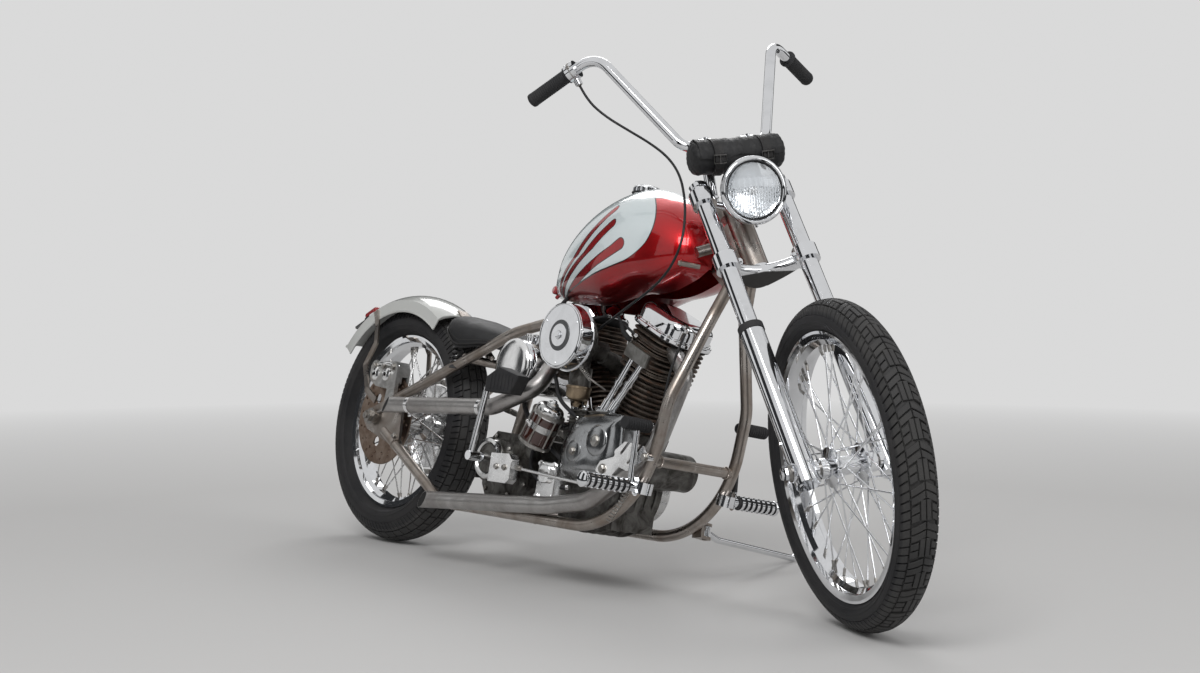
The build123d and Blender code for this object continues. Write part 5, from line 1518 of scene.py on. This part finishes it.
# Brake caliper: rounded piston caps, a bridge and a bleeder
caliper = Shape()
for x in (-34, 20):
    caliper.turned([(0, 9), (12, 8.4), (18, 5.5), (20, 1), (20, -2)], facing((x, -110.5, 452), RIGHT), 40)
caliper.tube([(-46, -100, 478), (-20, -112, 482), (20, -112, 482), (46, -100, 478)], 5.5, 12)
caliper.drum((52, -98, 468), (0.5, -0.2, 0.8), 4.5, 16, 12, 1)
caliper.make("caliper_caps", "plate", "polished_alloy")

# Rear fender: a rolled bead along both sides and across both ends
FENDER_AT = Vector((-6, 0, 338))
FENDER_HALF = 74.5
FENDER_START, FENDER_END = math.radians(57), math.radians(145)
beads = Shape()
for side in (1, -1):
    turns = [FENDER_START + (FENDER_END - FENDER_START) * n / 44 for n in range(45)]
    edge = [Vector((298 * math.cos(a), side * FENDER_HALF, 298 * math.sin(a))) for a in turns]
    beads.tube([FENDER_AT + p for p in edge], 3.0, 8)
for turn in (FENDER_START, FENDER_END):
    arc = []
    for n in range(25):
        a = math.pi * (n / 24 - 0.5)
        r = 330 + 23.2 * math.cos(a)
        arc.append(FENDER_AT + Vector((r * math.cos(turn), FENDER_HALF * math.sin(a), r * math.sin(turn))))
    beads.tube(arc, 2.4, 8)
beads.make("fender_bead", "silver", "pale_silver")

# Fuel cap: a black seal under a stepped chrome cap with a knurled edge
CAP = Matrix.Translation((head_at.x - 376.7, 0, head_at.z + 135.7))
CAP_RIDGES = 48
cap = Shape().turned([(20, 11), (29, 12.4), (24, 14.5), (0, 15.4), (0, 11)], CAP, 64)
for n in range(CAP_RIDGES):
    ridge = Matrix.Rotation(2 * math.pi * n / CAP_RIDGES, 4, "Z") @ Matrix.Translation((34, 0, 0))
    cap.block((-1, -1.2, -3), (1.4, 1.2, 6.5), CAP @ ridge)
cap.make("fuel_cap_top", "chrome", "chrome")
seal = Shape().turned([(33, -7.5), (37, -7.0), (38, -5), (37, -3.2), (33, -3)], CAP, 64)
seal.make("fuel_cap_seal", "rubber", "black_rubber")

# Tail lamp: a bright rim round the lens, on the plate holder's slope
HOLDER_SLOPE = math.radians(25)
down_slope = Vector((-math.cos(HOLDER_SLOPE), 0, -math.sin(HOLDER_SLOPE)))
off_slope = Vector((-math.sin(HOLDER_SLOPE), 0, math.cos(HOLDER_SLOPE)))
holder = axes_matrix(down_slope, RIGHT, off_slope, (-190, 0, 652))
tail = Shape().slab(rounded_box(68, 52, 15, 73), [(4.1, 0), (10, 0), (12, 2)], holder)
for x in (52, 94):
    tail.drum(holder @ Vector((x, 0, 27)), off_slope, 3.0, 2.4, 12, 0.6)
tail.make("tail_lamp_rim", "chrome", "chrome")

# Drive chain: rollers and plates, link by link, along the belt round both sprockets
PITCH = 15.875
CHAIN_Y = 76.0
PLATE_R = 6.6
rear_sprocket = (0.0, 332.0, 129.0)
front_sprocket = (580.0, 290.0, 61.0)


def chain_runs():
    """The belt's four runs: sprocket's x, z and radius, angle where the run starts, length and bend."""
    (x1, z1, r1), (x2, z2, r2) = rear_sprocket, front_sprocket
    heading = math.atan2(z2 - z1, x2 - x1)
    apart = math.hypot(x2 - x1, z2 - z1)
    touch = math.acos((r1 - r2) / apart)
    straight = math.sqrt(apart ** 2 - (r1 - r2) ** 2)
    return [
        (*rear_sprocket, heading - touch, straight, 0),
        (*front_sprocket, heading - touch, r2 * 2 * touch, 1),
        (*front_sprocket, heading + touch, straight, 0),
        (*rear_sprocket, heading + touch, r1 * (2 * math.pi - 2 * touch), 1),
    ]


def chain_place(travelled):
    """Where the belt is after a distance, and its heading there."""
    for x, z, r, a, length, bend in chain_runs():
        if travelled < length:
            break
        travelled -= length
    if bend:
        a += travelled / r
        travelled = 0.0
    run = a + math.pi / 2
    x += r * math.cos(a) + travelled * math.cos(run)
    z += r * math.sin(a) + travelled * math.sin(run)
    return x, z, run


chain_length = sum(length for x, z, r, a, length, bend in chain_runs())
links = 2 * round(chain_length / PITCH / 2)
link_outline = []
for x, start in ((-PITCH / 2, math.pi / 2), (PITCH / 2, math.pi * 1.5)):
    for k in range(7):
        a = start + math.pi * k / 6
        link_outline.append((x + PLATE_R * math.cos(a), PLATE_R * math.sin(a)))
upright = Matrix.Rotation(math.pi / 2, 4, "X")
chain = Shape()
for n in range(links):
    x, z, run = chain_place(chain_length * n / links)
    place = Matrix.Translation((x, CHAIN_Y, z)) @ Matrix.Rotation(-run, 4, "Y") @ upright
    pin = place @ Matrix.Translation((-PITCH / 2, 0, 0))
    chain.skin([ring(5.0, h, 10) for h in (-5, 5)], pin)
    chain.skin([ring(2.5, h, 8) for h in (-9.6, 9.6)], pin)
    gap = 7.0 if n % 2 else 5.0
    for low in (gap, -gap - 1.7):
        chain.skin([[(px, py, h) for px, py in link_outline] for h in (low, low + 1.7)], place)
chain.make("chain_links", "steel", "raw_steel", stands_for="chain")

# Fork: pinch bolts, axle ends, drain screws, tube caps and riser screws
LEG_Y = 95.5
fork_hardware = Shape()
for side in (1, -1):
    out = (0, side, 0)
    axle_end = Vector((WHEELBASE * 1000, side * LEG_Y, FRONT_TYRE_R * 1000))
    for up in (537, 719):
        fork_hardware.bolt(at_fork(62, side * (LEG_Y - 30), up), fork_forward, 6, 6)
    fork_hardware.bolt(axle_end + Vector((0, side * 40, 0)), out, 14, 8)
    fork_hardware.bolt(axle_end + Vector((0, side * 14, 0)) - fork_up * 26, -fork_up, 6, 7)
    fork_hardware.bolt(at_fork(60, side * (LEG_Y + 26), 70), out, 5, 4)
    fork_hardware.bolt(at_fork(60, side * LEG_Y, 757), fork_up, 15, 8)
    for x in (-14, 14):
        fork_hardware.drum((head_at.x - 75.7 + x, side * 52, head_at.z + 246.7), UP, 5.0, 7, 14, 1)
fork_hardware.make("fork_hardware", "chrome", "chrome", "fork")


# Stage: pale floor, a plain background and soft light
BACKGROUND = (0.70, 0.70, 0.70)
BLACK = (0.0, 0.0, 0.0)
FLOOR_R = 40.0
FLOOR_Z = -0.0005
FADE_FROM, FADE_TO = 2.2, 6.5


def staged(name, points, faces, material):
    """An object that isn't part of the bike."""
    mesh = bpy.data.meshes.new(name)
    mesh.from_pydata(points, [], faces)
    mesh.materials.append(material)
    piece = linked(name, mesh)
    return piece


def pale_floor():
    """The floor keeps the bike's shadow near it and fades into the background further out."""
    s = Shader("floor", roughness=1.0, specular_ior_level=0.0, emission_strength=1.0)
    x, y = s.span(Matrix.Translation((CENTRE.x, CENTRE.y, 0)))[:2]
    away = (x * x + y * y).root() * (1 / FADE_TO)
    fade = s.ramp(away, (FADE_FROM / FADE_TO, 0.0), (1.0, 1.0)) * s.backdrop_rays()
    return s.give(
        base_color=s.mix(fade, (0.60, 0.595, 0.59), BLACK),
        emission_color=s.mix(fade, BLACK, BACKGROUND),
    )


staged("floor", ring(FLOOR_R, FLOOR_Z, 64), [tuple(range(64))], pale_floor())

world = bpy.data.worlds.new("world")
bpy.context.scene.world = world
world.use_nodes = True
world.node_tree.nodes.clear()
sky = Nodes(world.node_tree)
plain = sky.node("Background", None, {"Color": (1.0, 1.0, 1.0), "Strength": 0.42})
shown = sky.node("Background", None, {"Color": BACKGROUND, "Strength": 1.0})
either = sky.node("MixShader", None, {0: sky.backdrop_rays(), 1: plain, 2: shown})
sky.feed(sky.tree.nodes.new("ShaderNodeOutputWorld").inputs[0], either)

for name, place, size, power in (
    ("key", (2.6, -3.6, 4.0), (3.2, 2.2), 150),
    ("fill", (4.6, 1.8, 2.2), (2.6, 2.6), 45),
    ("rim", (-3.4, 2.6, 3.4), (2.6, 2.0), 70),
):
    light = bpy.data.lights.new(name, "AREA")
    light.shape = "RECTANGLE"
    light.size, light.size_y = size
    light.energy = power
    lamp = linked(name, light)
    lamp.location = CENTRE + Vector(place)
    turn_to(lamp, -Vector(place))

# Dark cards round the studio, seen only in reflections, so that bright metal has an edge
CARD_R = 7.0
LOW_CARD = 0.9
TALL_CARD = 6.0
TALL_HALF = 11.0
CARD_STEP = 7.5
card_points = []
card_faces = []


def card_strip(start, end, top):
    """A curved card between two headings in degrees, standing on the floor."""
    steps = max(2, round((end - start) / CARD_STEP))
    first = len(card_points)
    for n in range(steps + 1):
        a = math.radians(start + (end - start) * n / steps)
        for z in (0.0, top):
            card_points.append((CENTRE.x + CARD_R * math.cos(a), CENTRE.y + CARD_R * math.sin(a), z))
    for low in range(first, first + 2 * steps, 2):
        card_faces.append((low, low + 2, low + 3, low + 1))


card_strip(0, 360, LOW_CARD)
for heading in (18, 62, 108, 150, 196, 240, 286, 330):
    card_strip(heading - TALL_HALF, heading + TALL_HALF, TALL_CARD)
dark = Shader("card", base_color=(0.05, 0.052, 0.055), roughness=1.0, specular_ior_level=0.0)
card = staged("card", card_points, card_faces, dark.material)
card.visible_camera = False
card.visible_transmission = False
card.visible_shadow = False
card.visible_diffuse = False
